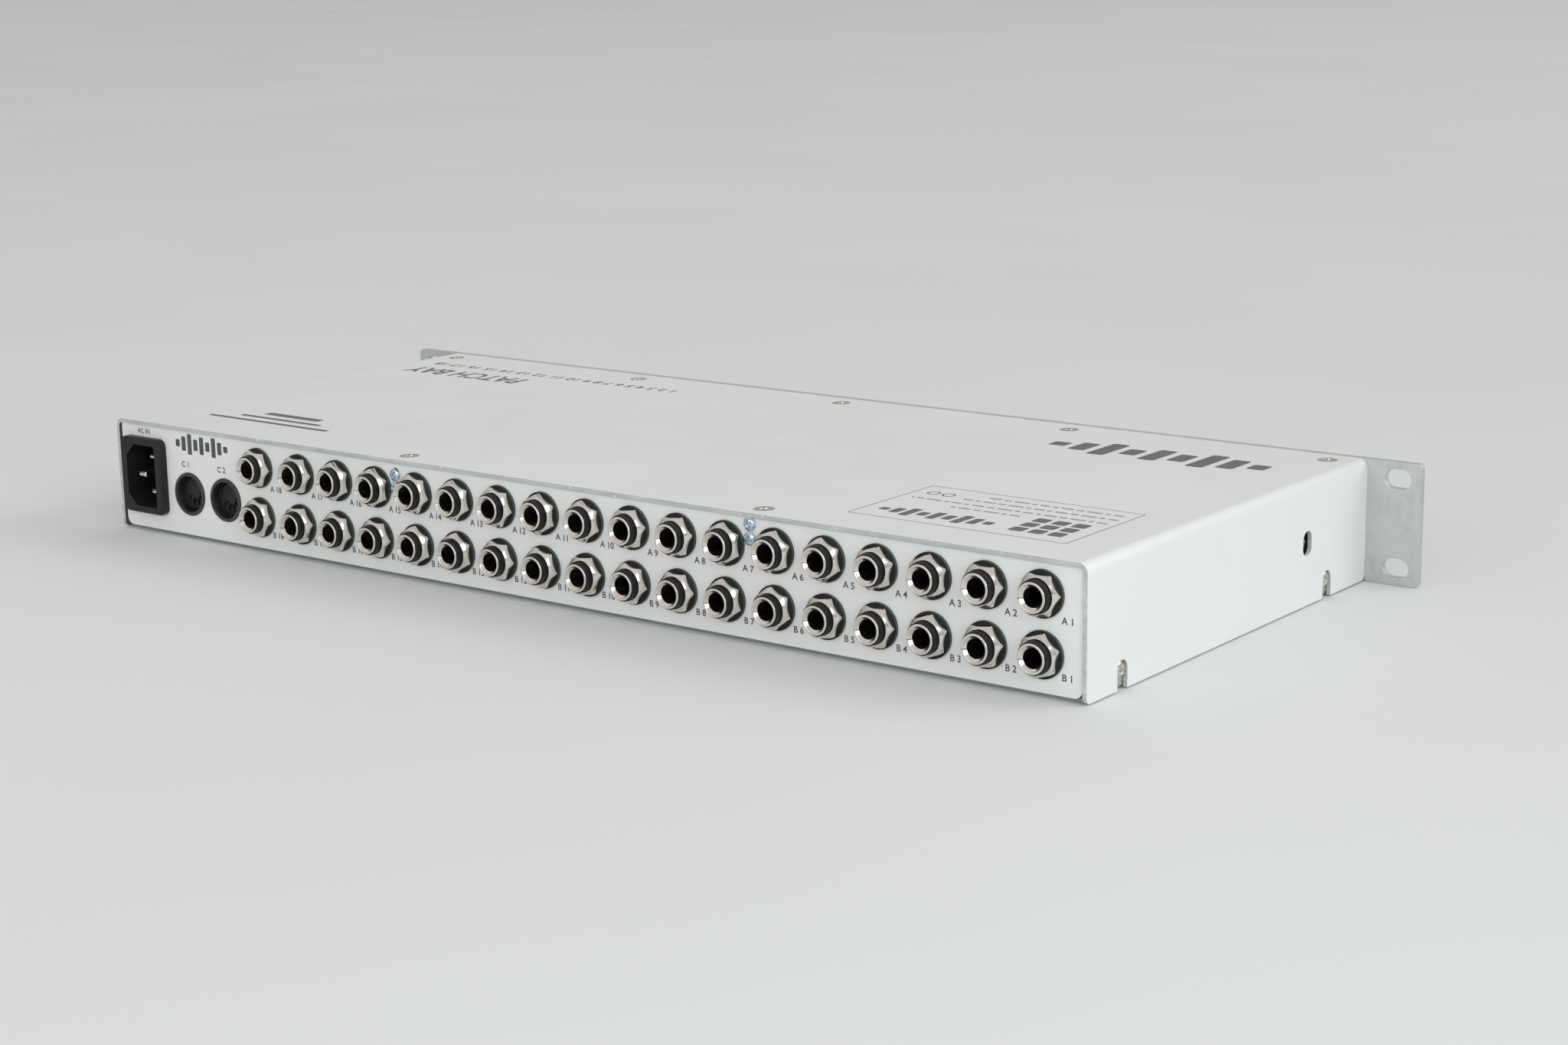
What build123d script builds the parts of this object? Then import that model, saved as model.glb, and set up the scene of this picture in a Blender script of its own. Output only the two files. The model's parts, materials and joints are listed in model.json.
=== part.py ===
from build123d import *
import os

os.makedirs("parts", exist_ok=True)

# A one-unit rack switching patch bay. Millimetres, +Z up, +X to the right seen from the front.
# The controls face -Y and the sockets face +Y. The origin is under the middle of the whole unit.

# ---- driving dimensions -------------------------------------------------------------------
RACK_WIDTH = 482.6
UNIT_HEIGHT = 44.0
BODY_WIDTH = 442.0
COVER_DEPTH = 188.4
PANEL_THICK = 3.0
CONTROL_PROUD = 3.0
JACK_PROUD = 6.3

COVER_TOP = UNIT_HEIGHT - 0.1
COVER_SHEET = 1.5
COVER_BOTTOM = 0.4
BEND_RADIUS = 3.2
BASE_SHEET = 1.5
BASE_FLANGE_TOP = 13.0
REAR_SHEET = 2.0
REAR_RECESS = 0.7
REAR_GAP = 0.8
BRACKET_SHEET = 1.5
GAP = 0.3

# Depths along Y, from the whole depth shared out about the middle.
REAR_EDGE = (COVER_DEPTH + PANEL_THICK + CONTROL_PROUD + JACK_PROUD) / 2 - JACK_PROUD
PANEL_BACK = REAR_EDGE - COVER_DEPTH
PANEL_FACE = PANEL_BACK - PANEL_THICK
REAR_FACE = REAR_EDGE - REAR_RECESS
REAR_INNER = REAR_FACE - REAR_SHEET
JACK_TIP = REAR_EDGE + JACK_PROUD

COVER_INSIDE = BODY_WIDTH / 2 - COVER_SHEET
COVER_CEILING = COVER_TOP - COVER_SHEET
BASE_HALF = COVER_INSIDE - 0.2
BRACKET_OUTSIDE = BASE_HALF - BASE_SHEET - 0.1
MIDDLE_HEIGHT = UNIT_HEIGHT / 2

# Rack slots
SLOT_CENTRES_X = 465.1
SLOT_CENTRES_Z = 31.75
SLOT_LENGTH = 10.0
SLOT_HEIGHT = 6.8

# Jack sockets: 18 columns, the first one set apart from the others
COLUMNS = 18
COLUMN_PITCH = 20.21
COLUMN_MIDDLE = -33.31
FIRST_COLUMN_X = 140.6
TOP_ROW_Z = 32.6
BOTTOM_ROW_Z = 13.66
PLUG_BORE = 3.25
PLUG_WELL = 4.0
BUSH_RADIUS = 5.35
JACK_BODY = 14.0
JACK_DEPTH = 24.3
WASHER_RADIUS = 7.6
WASHER_THICK = 1.1
NUT_THICK = 3.0
NUT_FLATS = 12.7
RIM_THICK = 0.6
RIM_RADIUS = 4.9
FERRULE_RADIUS = 4.2
FERRULE_LENGTH = 14.3
LEAD_IN_RADIUS = 4.1
LEAD_IN_DEPTH = 1.4
JACK_BOARD_THICK = 1.6

# Mains inlet, upright, its earth side towards +X
INLET_X = 205.0
INLET_Z = 22.75
INLET_WIDTH = 23.4
INLET_HEIGHT = 29.9
INLET_PROUD = 3.2
INLET_DEPTH = 22.0
MOUTH_WIDTH = 16.4
MOUTH_HEIGHT = 24.4
MOUTH_DEPTH = 17.0
MOUTH_CHAMFER = 4.6
BLADE_WIDTH = 4.0
BLADE_THICK = 2.0
BLADE_SPACING = 14.0
BLADE_SETBACK = 4.4
EARTH_SETBACK = 1.9
BLADE_TAIL = 4.0

# Five-pin round sockets
DIN_CENTRES_X = (180.5, 160.1)
DIN_Z = 17.75
DIN_COLLAR = 8.35
DIN_PROUD = 0.7
DIN_BORE = 7.2
DIN_BODY = 19.4
DIN_DEPTH = 15.0
DIN_RECESS = 3.5
DIN_INSERT = 5.9
DIN_PIN_CIRCLE = 3.75

# Screws
COVER_SCREWS_X = (-210.0, -105.0, 0.0, 105.0, 210.0)
COVER_SCREW_Y = PANEL_BACK + 8.9
REAR_SCREWS_X = (67.74, -93.94)
REAR_SCREW_Y = REAR_EDGE - 8.0
REAR_SCREWS_Z = (39.3, 34.1)
NOTCH_CENTRES_Y = (REAR_EDGE - 21.0, REAR_EDGE - 159.0)
NOTCH_WIDTH = 6.0
NOTCH_TOP = 9.8
NOTCH_SCREW_Z = 6.7
SIDE_SLOT_Y = REAR_EDGE - 143.5
SIDE_SLOT_Z = 22.2
M3_RADIUS = 1.5
M3_HOLE = 1.55
M25_RADIUS = 1.25
M25_HOLE = 1.3

# Front controls
BUTTON_COUNT = 15
BUTTON_PITCH = 17.5
FIRST_BUTTON_X = -75.0
FUNCTION_BUTTONS_X = (-133.0, -117.0, -101.0)
BUTTON_WIDTH = 9.6
BUTTON_HEIGHT = 7.6
BUTTON_TRAVEL = 1.0
BUTTON_SKIRT = 2.4
LED_RADIUS = 1.5
LED_Z = 31.5
WINDOW_X = -176.0
WINDOW_WIDTH = 44.0
WINDOW_HEIGHT = 16.0
ROCKER_X = 198.0
ROCKER_TILT = 10.0
ROCKER_CUT_WIDTH = 13.2
ROCKER_CUT_HEIGHT = 20.0

# Boards
BOARD_THICK = 1.6
BOARD_Z = 8.0
FRONT_BOARD_Y = PANEL_BACK + 10.35


# ---- helpers ------------------------------------------------------------------------------
def upright(y):
    """A plane at depth y with local x along X and local y along Z; it extrudes towards -Y."""
    return Plane(origin=(0, y, 0), x_dir=(1, 0, 0), z_dir=(0, -1, 0))


def column_x(column):
    """The X of a column of jack sockets, counted from +X."""
    if column == 0:
        return FIRST_COLUMN_X
    return COLUMN_MIDDLE - COLUMN_PITCH * (column - (COLUMNS - 1) / 2)


def button_x(index):
    return FIRST_BUTTON_X + BUTTON_PITCH * index


def cross_recess(depth, size):
    """A cross cut into the face at the origin, downwards."""
    with BuildPart() as recess:
        with BuildSketch():
            Rectangle(size, size * 0.24)
            Rectangle(size * 0.24, size)
        extrude(amount=-depth, taper=12)
    return recess.part


def pan_screw(head_radius, head_height, radius, length):
    """A pan-head cross screw along -Z, with the underside of its head at the origin."""
    with BuildPart() as screw:
        Cylinder(head_radius, head_height, align=(Align.CENTER, Align.CENTER, Align.MIN))
        fillet(screw.edges().group_by(Axis.Z)[-1], head_height * 0.55)
        Cylinder(radius, length, align=(Align.CENTER, Align.CENTER, Align.MAX))
        with Locations((0, 0, head_height)):
            add(cross_recess(head_height * 0.6, head_radius * 1.15), mode=Mode.SUBTRACT)
    return screw.part


def group_at(piece, spots):
    """Separate copies of one piece at each of the given locations."""
    with BuildPart() as group:
        with Locations(*spots):
            add(piece)
    return group


JACK_SPOTS = [
    (column_x(column), z) for z in (TOP_ROW_Z, BOTTOM_ROW_Z) for column in range(COLUMNS)
]
BUTTON_SPOTS = [(button_x(i), MIDDLE_HEIGHT) for i in range(BUTTON_COUNT)]
FUNCTION_SPOTS = [(x, MIDDLE_HEIGHT) for x in FUNCTION_BUTTONS_X]

# ---- top cover: folded sheet, open below ----------------------------------------------------
with BuildPart() as top_cover:
    with BuildSketch(upright(REAR_EDGE)):
        with Locations((0, (COVER_TOP + COVER_BOTTOM) / 2)):
            Rectangle(BODY_WIDTH, COVER_TOP - COVER_BOTTOM)
        fillet(vertices().group_by(Axis.Y)[-1], BEND_RADIUS)
    extrude(amount=COVER_DEPTH)
    with BuildSketch(upright(REAR_EDGE)):
        with Locations((0, COVER_CEILING / 2)):
            Rectangle(2 * COVER_INSIDE, COVER_CEILING)
        fillet(vertices().group_by(Axis.Y)[-1], BEND_RADIUS - COVER_SHEET)
    extrude(amount=COVER_DEPTH, mode=Mode.SUBTRACT)
    fillet(edges().filter_by(Axis.X).group_by(Axis.Z)[0], 2.0)
    with BuildSketch(Plane.YZ):
        for y in NOTCH_CENTRES_Y:
            with Locations((y, NOTCH_TOP - NOTCH_WIDTH / 2)):
                Circle(NOTCH_WIDTH / 2)
                Rectangle(NOTCH_WIDTH, NOTCH_TOP, align=(Align.CENTER, Align.MAX))
        with Locations((SIDE_SLOT_Y, SIDE_SLOT_Z)):
            SlotOverall(8.8, 6.3, rotation=90)
    extrude(amount=BODY_WIDTH, both=True, mode=Mode.SUBTRACT)
    screw_spots = [(x, COVER_SCREW_Y, COVER_TOP) for x in COVER_SCREWS_X]
    screw_spots += [(x, REAR_SCREW_Y, COVER_TOP) for x in REAR_SCREWS_X]
    with Locations(*screw_spots):
        CounterSinkHole(2.3, 3.65, depth=COVER_SHEET, counter_sink_angle=90)
top_cover.part.label = "top_cover"
export_step(top_cover.part, "parts/top_cover.step")

# ---- base tray: bare floor with two side flanges --------------------------------------------
with BuildPart() as base_tray:
    with BuildSketch(upright(REAR_INNER - GAP)):
        with Locations((0, BASE_FLANGE_TOP / 2)):
            Rectangle(2 * BASE_HALF, BASE_FLANGE_TOP)
        fillet(vertices().group_by(Axis.Y)[0], 1.8)
        with Locations((0, BASE_SHEET + BASE_FLANGE_TOP / 2)):
            Rectangle(2 * (BASE_HALF - BASE_SHEET), BASE_FLANGE_TOP, mode=Mode.SUBTRACT)
    extrude(amount=REAR_INNER - PANEL_BACK - 2 * GAP)
    with BuildSketch(Plane.YZ):
        with Locations(*[(y, NOTCH_SCREW_Z) for y in NOTCH_CENTRES_Y]):
            Circle(M3_HOLE)
    extrude(amount=BODY_WIDTH, both=True, mode=Mode.SUBTRACT)
base_tray.part.label = "base_tray"
export_step(base_tray.part, "parts/base_tray.step")

# ---- rear panel: plate with two tabs folded forward -----------------------------------------
TAB_REACH = 25.0
PLATE_LEFT = GAP - COVER_INSIDE
PLATE_RIGHT = COVER_INSIDE - REAR_GAP
PLATE_BOTTOM = 1.6
PLATE_TOP = COVER_CEILING - 0.2
with BuildPart() as rear_panel:
    with BuildSketch(upright(REAR_FACE)):
        with Locations((PLATE_LEFT, PLATE_BOTTOM)):
            Rectangle(
                PLATE_RIGHT - PLATE_LEFT, PLATE_TOP - PLATE_BOTTOM, align=(Align.MIN, Align.MIN)
            )
        fillet(vertices().group_by(Axis.Y)[0], 3.0)
        with Locations(*JACK_SPOTS):
            Circle(BUSH_RADIUS + 0.15, mode=Mode.SUBTRACT)
        with Locations(*[(x, DIN_Z) for x in DIN_CENTRES_X]):
            Circle(DIN_COLLAR + 0.15, mode=Mode.SUBTRACT)
        with Locations((INLET_X, INLET_Z)):
            Rectangle(INLET_WIDTH - 2.4, INLET_HEIGHT - 2.4, mode=Mode.SUBTRACT)
        with Locations(*[(x, z) for x in REAR_SCREWS_X for z in REAR_SCREWS_Z]):
            Circle(M25_HOLE, mode=Mode.SUBTRACT)
    extrude(amount=REAR_SHEET)
    for side in (-1, 1):
        with Locations((side * (BRACKET_OUTSIDE - BRACKET_SHEET / 2), REAR_INNER, 3.0)):
            Box(BRACKET_SHEET, TAB_REACH, 36.0, align=(Align.CENTER, Align.MAX, Align.MIN))
    with BuildSketch(Plane.YZ):
        with Locations((NOTCH_CENTRES_Y[0], NOTCH_SCREW_Z)):
            Circle(M3_HOLE)
    extrude(amount=BODY_WIDTH, both=True, mode=Mode.SUBTRACT)
rear_panel.part.label = "rear_panel"
export_step(rear_panel.part, "parts/rear_panel.step")

# ---- front panel: rack plate with slotted ears ----------------------------------------------
with BuildPart() as front_panel:
    with BuildSketch(upright(PANEL_BACK)):
        with Locations((0, MIDDLE_HEIGHT)):
            RectangleRounded(RACK_WIDTH, UNIT_HEIGHT, 2.0)
            with GridLocations(SLOT_CENTRES_X, SLOT_CENTRES_Z, 2, 2):
                SlotOverall(SLOT_LENGTH, SLOT_HEIGHT, mode=Mode.SUBTRACT)
        with Locations(*(BUTTON_SPOTS + FUNCTION_SPOTS)):
            RectangleRounded(BUTTON_WIDTH + 2 * GAP, BUTTON_HEIGHT + 2 * GAP, 1.3, mode=Mode.SUBTRACT)
        with Locations(*[(button_x(i), LED_Z) for i in range(BUTTON_COUNT)]):
            Circle(LED_RADIUS + 0.1, mode=Mode.SUBTRACT)
        with Locations((WINDOW_X, MIDDLE_HEIGHT)):
            RectangleRounded(WINDOW_WIDTH, WINDOW_HEIGHT, 1.0, mode=Mode.SUBTRACT)
        with Locations((ROCKER_X, MIDDLE_HEIGHT)):
            Rectangle(ROCKER_CUT_WIDTH, ROCKER_CUT_HEIGHT, mode=Mode.SUBTRACT)
    extrude(amount=PANEL_THICK)
    fillet(faces().sort_by(Axis.Y)[0].outer_wire().edges(), 0.5)
front_panel.part.label = "front_panel"
export_step(front_panel.part, "parts/front_panel.step")

# ---- angle bar behind the front panel, under the front row of cover screws ------------------
RAIL_HALF = 213.0
RAIL_DEPTH = 16.0
RAIL_DROP = 6.4
with BuildPart() as front_rail:
    with Locations((0, PANEL_BACK, COVER_CEILING - 0.1)):
        Box(2 * RAIL_HALF, RAIL_DEPTH, BRACKET_SHEET, align=(Align.CENTER, Align.MIN, Align.MAX))
        Box(2 * RAIL_HALF, BRACKET_SHEET, RAIL_DROP, align=(Align.CENTER, Align.MIN, Align.MAX))
    with Locations(*[(x, COVER_SCREW_Y, COVER_CEILING) for x in COVER_SCREWS_X]):
        Hole(M3_HOLE, depth=BRACKET_SHEET * 3)
front_rail.part.label = "front_rail"
export_step(front_rail.part, "parts/front_rail.step")

# ---- side brackets: carry the front panel, one each side ------------------------------------
SIDE_BRACKET_REACH = 52.0
with BuildPart() as side_brackets:
    for side in (-1, 1):
        with Locations((side * (BRACKET_OUTSIDE - BRACKET_SHEET / 2), PANEL_BACK, 3.0)):
            Box(BRACKET_SHEET, SIDE_BRACKET_REACH, 36.0, align=(Align.CENTER, Align.MIN, Align.MIN))
        with Locations((side * (BRACKET_OUTSIDE - 4.5), PANEL_BACK, 3.0)):
            Box(9.0, BRACKET_SHEET, 31.0, align=(Align.CENTER, Align.MIN, Align.MIN))
    with BuildSketch(Plane.YZ):
        with Locations((NOTCH_CENTRES_Y[1], NOTCH_SCREW_Z), (SIDE_SLOT_Y, SIDE_SLOT_Z)):
            Circle(M3_HOLE)
    extrude(amount=BODY_WIDTH, both=True, mode=Mode.SUBTRACT)
side_brackets.part.label = "side_brackets"
export_step(side_brackets.part, "parts/side_brackets.step")

# ---- rear brackets: join the rear panel to the cover between two columns of jacks -----------
with BuildPart() as rear_brackets:
    for x in REAR_SCREWS_X:
        with Locations((x, REAR_INNER, COVER_CEILING - 0.1)):
            Box(12.0, 13.0, 1.1, align=(Align.CENTER, Align.MAX, Align.MAX))
            Box(5.6, BRACKET_SHEET, 12.0, align=(Align.CENTER, Align.MAX, Align.MAX))
        with Locations((x, REAR_SCREW_Y, COVER_CEILING)):
            Hole(M3_HOLE, depth=3.0)
    with BuildSketch(upright(REAR_INNER)):
        with Locations(*[(x, z) for x in REAR_SCREWS_X for z in REAR_SCREWS_Z]):
            Circle(M25_HOLE)
    extrude(amount=BRACKET_SHEET, mode=Mode.SUBTRACT)
rear_brackets.part.label = "rear_brackets"
export_step(rear_brackets.part, "parts/rear_brackets.step")

# ---- screws ---------------------------------------------------------------------------------
COVER_SCREW_LENGTH = 7.0
with BuildPart() as countersunk_screw:
    with BuildSketch(Plane.XZ):
        Polygon(
            (0, 0), (3.5, 0), (M3_RADIUS, 0.1 - COVER_SHEET), (M3_RADIUS, -COVER_SCREW_LENGTH),
            (0, -COVER_SCREW_LENGTH), align=None,
        )
    revolve(axis=Axis.Z)
    add(cross_recess(1.2, 3.4), mode=Mode.SUBTRACT)
cover_screws = group_at(countersunk_screw.part, [Location(spot) for spot in screw_spots])
cover_screws.part.label = "cover_screws"
export_step(cover_screws.part, "parts/cover_screws.step")

side_screw = pan_screw(2.75, 1.6, M3_RADIUS, 6.0)
side_spots = []
for side in (-1, 1):
    turn = (0, 90 * side, 0)
    for y in NOTCH_CENTRES_Y:
        side_spots.append(Location((side * BASE_HALF, y, NOTCH_SCREW_Z), turn))
    side_spots.append(Location((side * BRACKET_OUTSIDE, SIDE_SLOT_Y, SIDE_SLOT_Z), turn))
side_screws = group_at(side_screw, side_spots)
side_screws.part.label = "side_screws"
export_step(side_screws.part, "parts/side_screws.step")

bracket_screw = pan_screw(2.25, 1.5, M25_RADIUS, 5.0)
bracket_screws = group_at(
    bracket_screw,
    [Location((x, REAR_FACE, z), (-90, 0, 0)) for x in REAR_SCREWS_X for z in REAR_SCREWS_Z],
)
bracket_screws.part.label = "bracket_screws"
export_step(bracket_screws.part, "parts/bracket_screws.step")

# ---- jack sockets, each built on the Y axis with the panel's outer face at y = 0 ------------
BUSH_FRONT = JACK_TIP - REAR_FACE - RIM_THICK
FERRULE_BACK = BUSH_FRONT + RIM_THICK - FERRULE_LENGTH
BODY_BACK = -REAR_SHEET - JACK_DEPTH
with BuildPart() as jack_body:
    with BuildSketch(upright(-REAR_SHEET)):
        RectangleRounded(JACK_BODY, JACK_BODY, 0.8)
    extrude(amount=JACK_DEPTH)
    with BuildSketch(upright(BUSH_FRONT)):
        Circle(BUSH_RADIUS)
    extrude(amount=BUSH_FRONT + REAR_SHEET)
    fillet(edges().filter_by(GeomType.CIRCLE).group_by(Axis.Y)[-1], 0.35)
    with BuildSketch(upright(BUSH_FRONT)):
        Circle(FERRULE_RADIUS + 0.02)
    extrude(amount=BUSH_FRONT - FERRULE_BACK, mode=Mode.SUBTRACT)
    with BuildSketch(upright(FERRULE_BACK)):
        Circle(PLUG_WELL)
    extrude(amount=FERRULE_BACK - BODY_BACK - 1.6, mode=Mode.SUBTRACT)
    for side in (-1, 1):
        with Locations((0, BODY_BACK + 1.6, side * 3.0)):
            Box(3.2, 12.0, 3.0, align=(Align.CENTER, Align.MIN, Align.CENTER), mode=Mode.SUBTRACT)
        with Locations((0, BODY_BACK, side * 3.9)):
            Box(1.4, 4.0, 0.8, align=(Align.CENTER, Align.CENTER, Align.CENTER), mode=Mode.SUBTRACT)
jack_bodies = group_at(jack_body.part, [Location((x, REAR_FACE, z)) for x, z in JACK_SPOTS])
jack_bodies.part.label = "jack_bodies"
export_step(jack_bodies.part, "parts/jack_bodies.step")

with BuildPart() as jack_ferrule:
    with BuildSketch(Plane.XY):
        with BuildLine():
            Polyline(
                (PLUG_BORE, FERRULE_BACK),
                (FERRULE_RADIUS, FERRULE_BACK),
                (FERRULE_RADIUS, BUSH_FRONT),
                (RIM_RADIUS, BUSH_FRONT),
                (RIM_RADIUS, BUSH_FRONT + RIM_THICK - 0.2),
                (RIM_RADIUS - 0.2, BUSH_FRONT + RIM_THICK),
                (LEAD_IN_RADIUS, BUSH_FRONT + RIM_THICK),
                (PLUG_BORE, BUSH_FRONT + RIM_THICK - LEAD_IN_DEPTH),
                close=True,
            )
        make_face()
    revolve(axis=Axis.Y)
jack_ferrules = group_at(jack_ferrule.part, [Location((x, REAR_FACE, z)) for x, z in JACK_SPOTS])
jack_ferrules.part.label = "jack_ferrules"
export_step(jack_ferrules.part, "parts/jack_ferrules.step")

with BuildPart() as jack_washer:
    with BuildSketch(upright(WASHER_THICK)):
        Circle(WASHER_RADIUS)
        Circle(BUSH_RADIUS + 0.15, mode=Mode.SUBTRACT)
    extrude(amount=WASHER_THICK)
jack_washers = group_at(jack_washer.part, [Location((x, REAR_FACE, z)) for x, z in JACK_SPOTS])
jack_washers.part.label = "jack_washers"
export_step(jack_washers.part, "parts/jack_washers.step")

NUT_CORNER = NUT_FLATS / 3**0.5
with BuildPart() as jack_nut:
    with BuildSketch(upright(WASHER_THICK + NUT_THICK)):
        RegularPolygon(NUT_CORNER, 6)
        Circle(BUSH_RADIUS + 0.05, mode=Mode.SUBTRACT)
    extrude(amount=NUT_THICK)
    with BuildSketch(Plane.XY):
        Polygon(
            (0, 0), (NUT_CORNER + 1, 0), (NUT_CORNER + 1, WASHER_THICK + NUT_THICK - 1.6),
            (NUT_FLATS / 2 - 0.2, WASHER_THICK + NUT_THICK), (0, WASHER_THICK + NUT_THICK),
            align=None,
        )
    revolve(axis=Axis.Y, mode=Mode.INTERSECT)
NUT_TURN = 47.0
jack_nuts = group_at(
    jack_nut.part,
    [
        Location((x, REAR_FACE, z), (0, (NUT_TURN * index * index) % 60, 0))
        for index, (x, z) in enumerate(JACK_SPOTS)
    ],
)
jack_nuts.part.label = "jack_nuts"
export_step(jack_nuts.part, "parts/jack_nuts.step")

# Contact springs: a leaf in each of the body's two pockets, with a tail through the back wall
with BuildPart() as jack_spring:
    with BuildSketch(Plane.YZ):
        with BuildLine():
            Polyline(
                (BODY_BACK - 3.2, 3.7),
                (BODY_BACK - 3.2, 4.1),
                (BODY_BACK + 9.0, 4.1),
                (BODY_BACK + 11.0, 3.8),
                (BODY_BACK + 11.0, 3.45),
                (BODY_BACK + 9.0, 3.7),
                close=True,
            )
        make_face()
    extrude(amount=0.6, both=True)
    mirror(about=Plane.XY)
jack_springs = group_at(jack_spring.part, [Location((x, REAR_FACE, z)) for x, z in JACK_SPOTS])
jack_springs.part.label = "jack_springs"
export_step(jack_springs.part, "parts/jack_springs.step")

JACK_BOARD_Y = REAR_FACE + BODY_BACK - 0.1
JACK_BOARD_X = (FIRST_COLUMN_X + column_x(COLUMNS - 1)) / 2
JACK_BOARD_WIDTH = FIRST_COLUMN_X - column_x(COLUMNS - 1) + 18.0
with BuildPart() as jack_board:
    with BuildSketch(upright(JACK_BOARD_Y)):
        with Locations((JACK_BOARD_X, 22.6)):
            RectangleRounded(JACK_BOARD_WIDTH, 36.0, 1.0)
        for x, z in JACK_SPOTS:
            with Locations((x, z - 3.9), (x, z + 3.9)):
                Rectangle(1.5, 0.9, mode=Mode.SUBTRACT)
    extrude(amount=JACK_BOARD_THICK)
jack_board.part.label = "jack_board"
export_step(jack_board.part, "parts/jack_board.step")

# ---- mains inlet ----------------------------------------------------------------------------
INLET_FACE = REAR_FACE + INLET_PROUD
LIVE_SPOTS = [(INLET_X - 2.0, INLET_Z + side * BLADE_SPACING / 2) for side in (1, -1)]
EARTH_SPOT = (INLET_X + 2.0, INLET_Z)
BLADE_END = REAR_FACE - INLET_DEPTH - BLADE_TAIL
with BuildPart() as iec_inlet_body:
    with BuildSketch(upright(INLET_FACE)):
        with Locations((INLET_X, INLET_Z)):
            RectangleRounded(INLET_WIDTH, INLET_HEIGHT, 3.0)
    extrude(amount=INLET_PROUD)
    fillet(faces().sort_by(Axis.Y)[-1].outer_wire().edges(), 1.0)
    with BuildSketch(upright(REAR_FACE)):
        with Locations((INLET_X, INLET_Z)):
            Rectangle(INLET_WIDTH - 2.8, INLET_HEIGHT - 2.8)
    extrude(amount=INLET_DEPTH)
    with BuildSketch(upright(INLET_FACE)):
        with Locations((INLET_X, INLET_Z)):
            Rectangle(MOUTH_WIDTH, MOUTH_HEIGHT)
        chamfer(vertices().group_by(Axis.X)[-1], MOUTH_CHAMFER)
        fillet(vertices().group_by(Axis.X)[0], 1.0)
    extrude(amount=MOUTH_DEPTH, mode=Mode.SUBTRACT)
    with BuildSketch(upright(REAR_FACE)):
        with Locations(EARTH_SPOT, *LIVE_SPOTS):
            Rectangle(BLADE_WIDTH + 0.1, BLADE_THICK + 0.1)
    extrude(amount=INLET_DEPTH + 1.0, mode=Mode.SUBTRACT)
iec_inlet_body.part.label = "iec_inlet_body"
export_step(iec_inlet_body.part, "parts/iec_inlet_body.step")

with BuildPart() as iec_pins:
    for spots, setback in ((LIVE_SPOTS, BLADE_SETBACK), ([EARTH_SPOT], EARTH_SETBACK)):
        tip = INLET_FACE - setback
        with BuildSketch(upright(tip)):
            with Locations(*spots):
                Rectangle(BLADE_WIDTH, BLADE_THICK)
        extrude(amount=tip - BLADE_END)
        chamfer(edges().filter_by_position(Axis.Y, tip, tip), 0.6)
iec_pins.part.label = "iec_pins"
export_step(iec_pins.part, "parts/iec_pins.step")

# ---- five-pin round sockets -----------------------------------------------------------------
DIN_FACE = REAR_FACE + DIN_PROUD
DIN_SPOTS = [Location((x, 0, DIN_Z)) for x in DIN_CENTRES_X]
with BuildPart() as din_socket_body:
    with BuildSketch(upright(REAR_INNER)):
        Rectangle(DIN_BODY, DIN_BODY)
    extrude(amount=DIN_DEPTH)
    with BuildSketch(upright(DIN_FACE)):
        Circle(DIN_COLLAR)
    extrude(amount=DIN_FACE - REAR_INNER)
    fillet(edges().filter_by(GeomType.CIRCLE).group_by(Axis.Y)[-1], 0.3)
    with BuildSketch(upright(DIN_FACE)):
        Circle(DIN_BORE)
    extrude(amount=DIN_DEPTH - 1.0, mode=Mode.SUBTRACT)
din_socket_bodies = group_at(din_socket_body.part, DIN_SPOTS)
din_socket_bodies.part.label = "din_socket_bodies"
export_step(din_socket_bodies.part, "parts/din_socket_bodies.step")

INSERT_FACE = DIN_FACE - DIN_RECESS
INSERT_LENGTH = DIN_DEPTH - 1.0 - DIN_RECESS
with BuildPart() as din_insert:
    with BuildSketch(upright(INSERT_FACE)):
        Circle(DIN_INSERT)
        with Locations((0, DIN_INSERT)):
            Rectangle(2.2, 2.0, mode=Mode.SUBTRACT)
        with PolarLocations(DIN_PIN_CIRCLE, 5, start_angle=180, angular_range=180):
            SlotOverall(3.2, 1.6, mode=Mode.SUBTRACT)
    extrude(amount=INSERT_LENGTH)
din_inserts = group_at(din_insert.part, DIN_SPOTS)
din_inserts.part.label = "din_inserts"
export_step(din_inserts.part, "parts/din_inserts.step")

with BuildPart() as din_contact_set:
    with BuildSketch(upright(INSERT_FACE - 1.2)):
        with PolarLocations(DIN_PIN_CIRCLE, 5, start_angle=180, angular_range=180):
            SlotOverall(2.8, 1.2)
            SlotOverall(1.9, 0.5, mode=Mode.SUBTRACT)
    extrude(amount=INSERT_LENGTH - 1.3)
din_contacts = group_at(din_contact_set.part, DIN_SPOTS)
din_contacts.part.label = "din_contacts"
export_step(din_contacts.part, "parts/din_contacts.step")

# ---- main board and what stands on it -------------------------------------------------------
MAIN_BOARD_X = -52.0
MAIN_BOARD_Y = -6.0
MAIN_BOARD_WIDTH = 316.0
MAIN_BOARD_DEPTH = 124.0
with BuildPart() as main_board:
    with Locations((MAIN_BOARD_X, MAIN_BOARD_Y, BOARD_Z)):
        Box(
            MAIN_BOARD_WIDTH, MAIN_BOARD_DEPTH, BOARD_THICK,
            align=(Align.CENTER, Align.CENTER, Align.MIN),
        )
        with GridLocations((MAIN_BOARD_WIDTH - 12) / 2, MAIN_BOARD_DEPTH - 12, 3, 2):
            Hole(M3_HOLE)
main_board.part.label = "main_board"
export_step(main_board.part, "parts/main_board.step")

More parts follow.
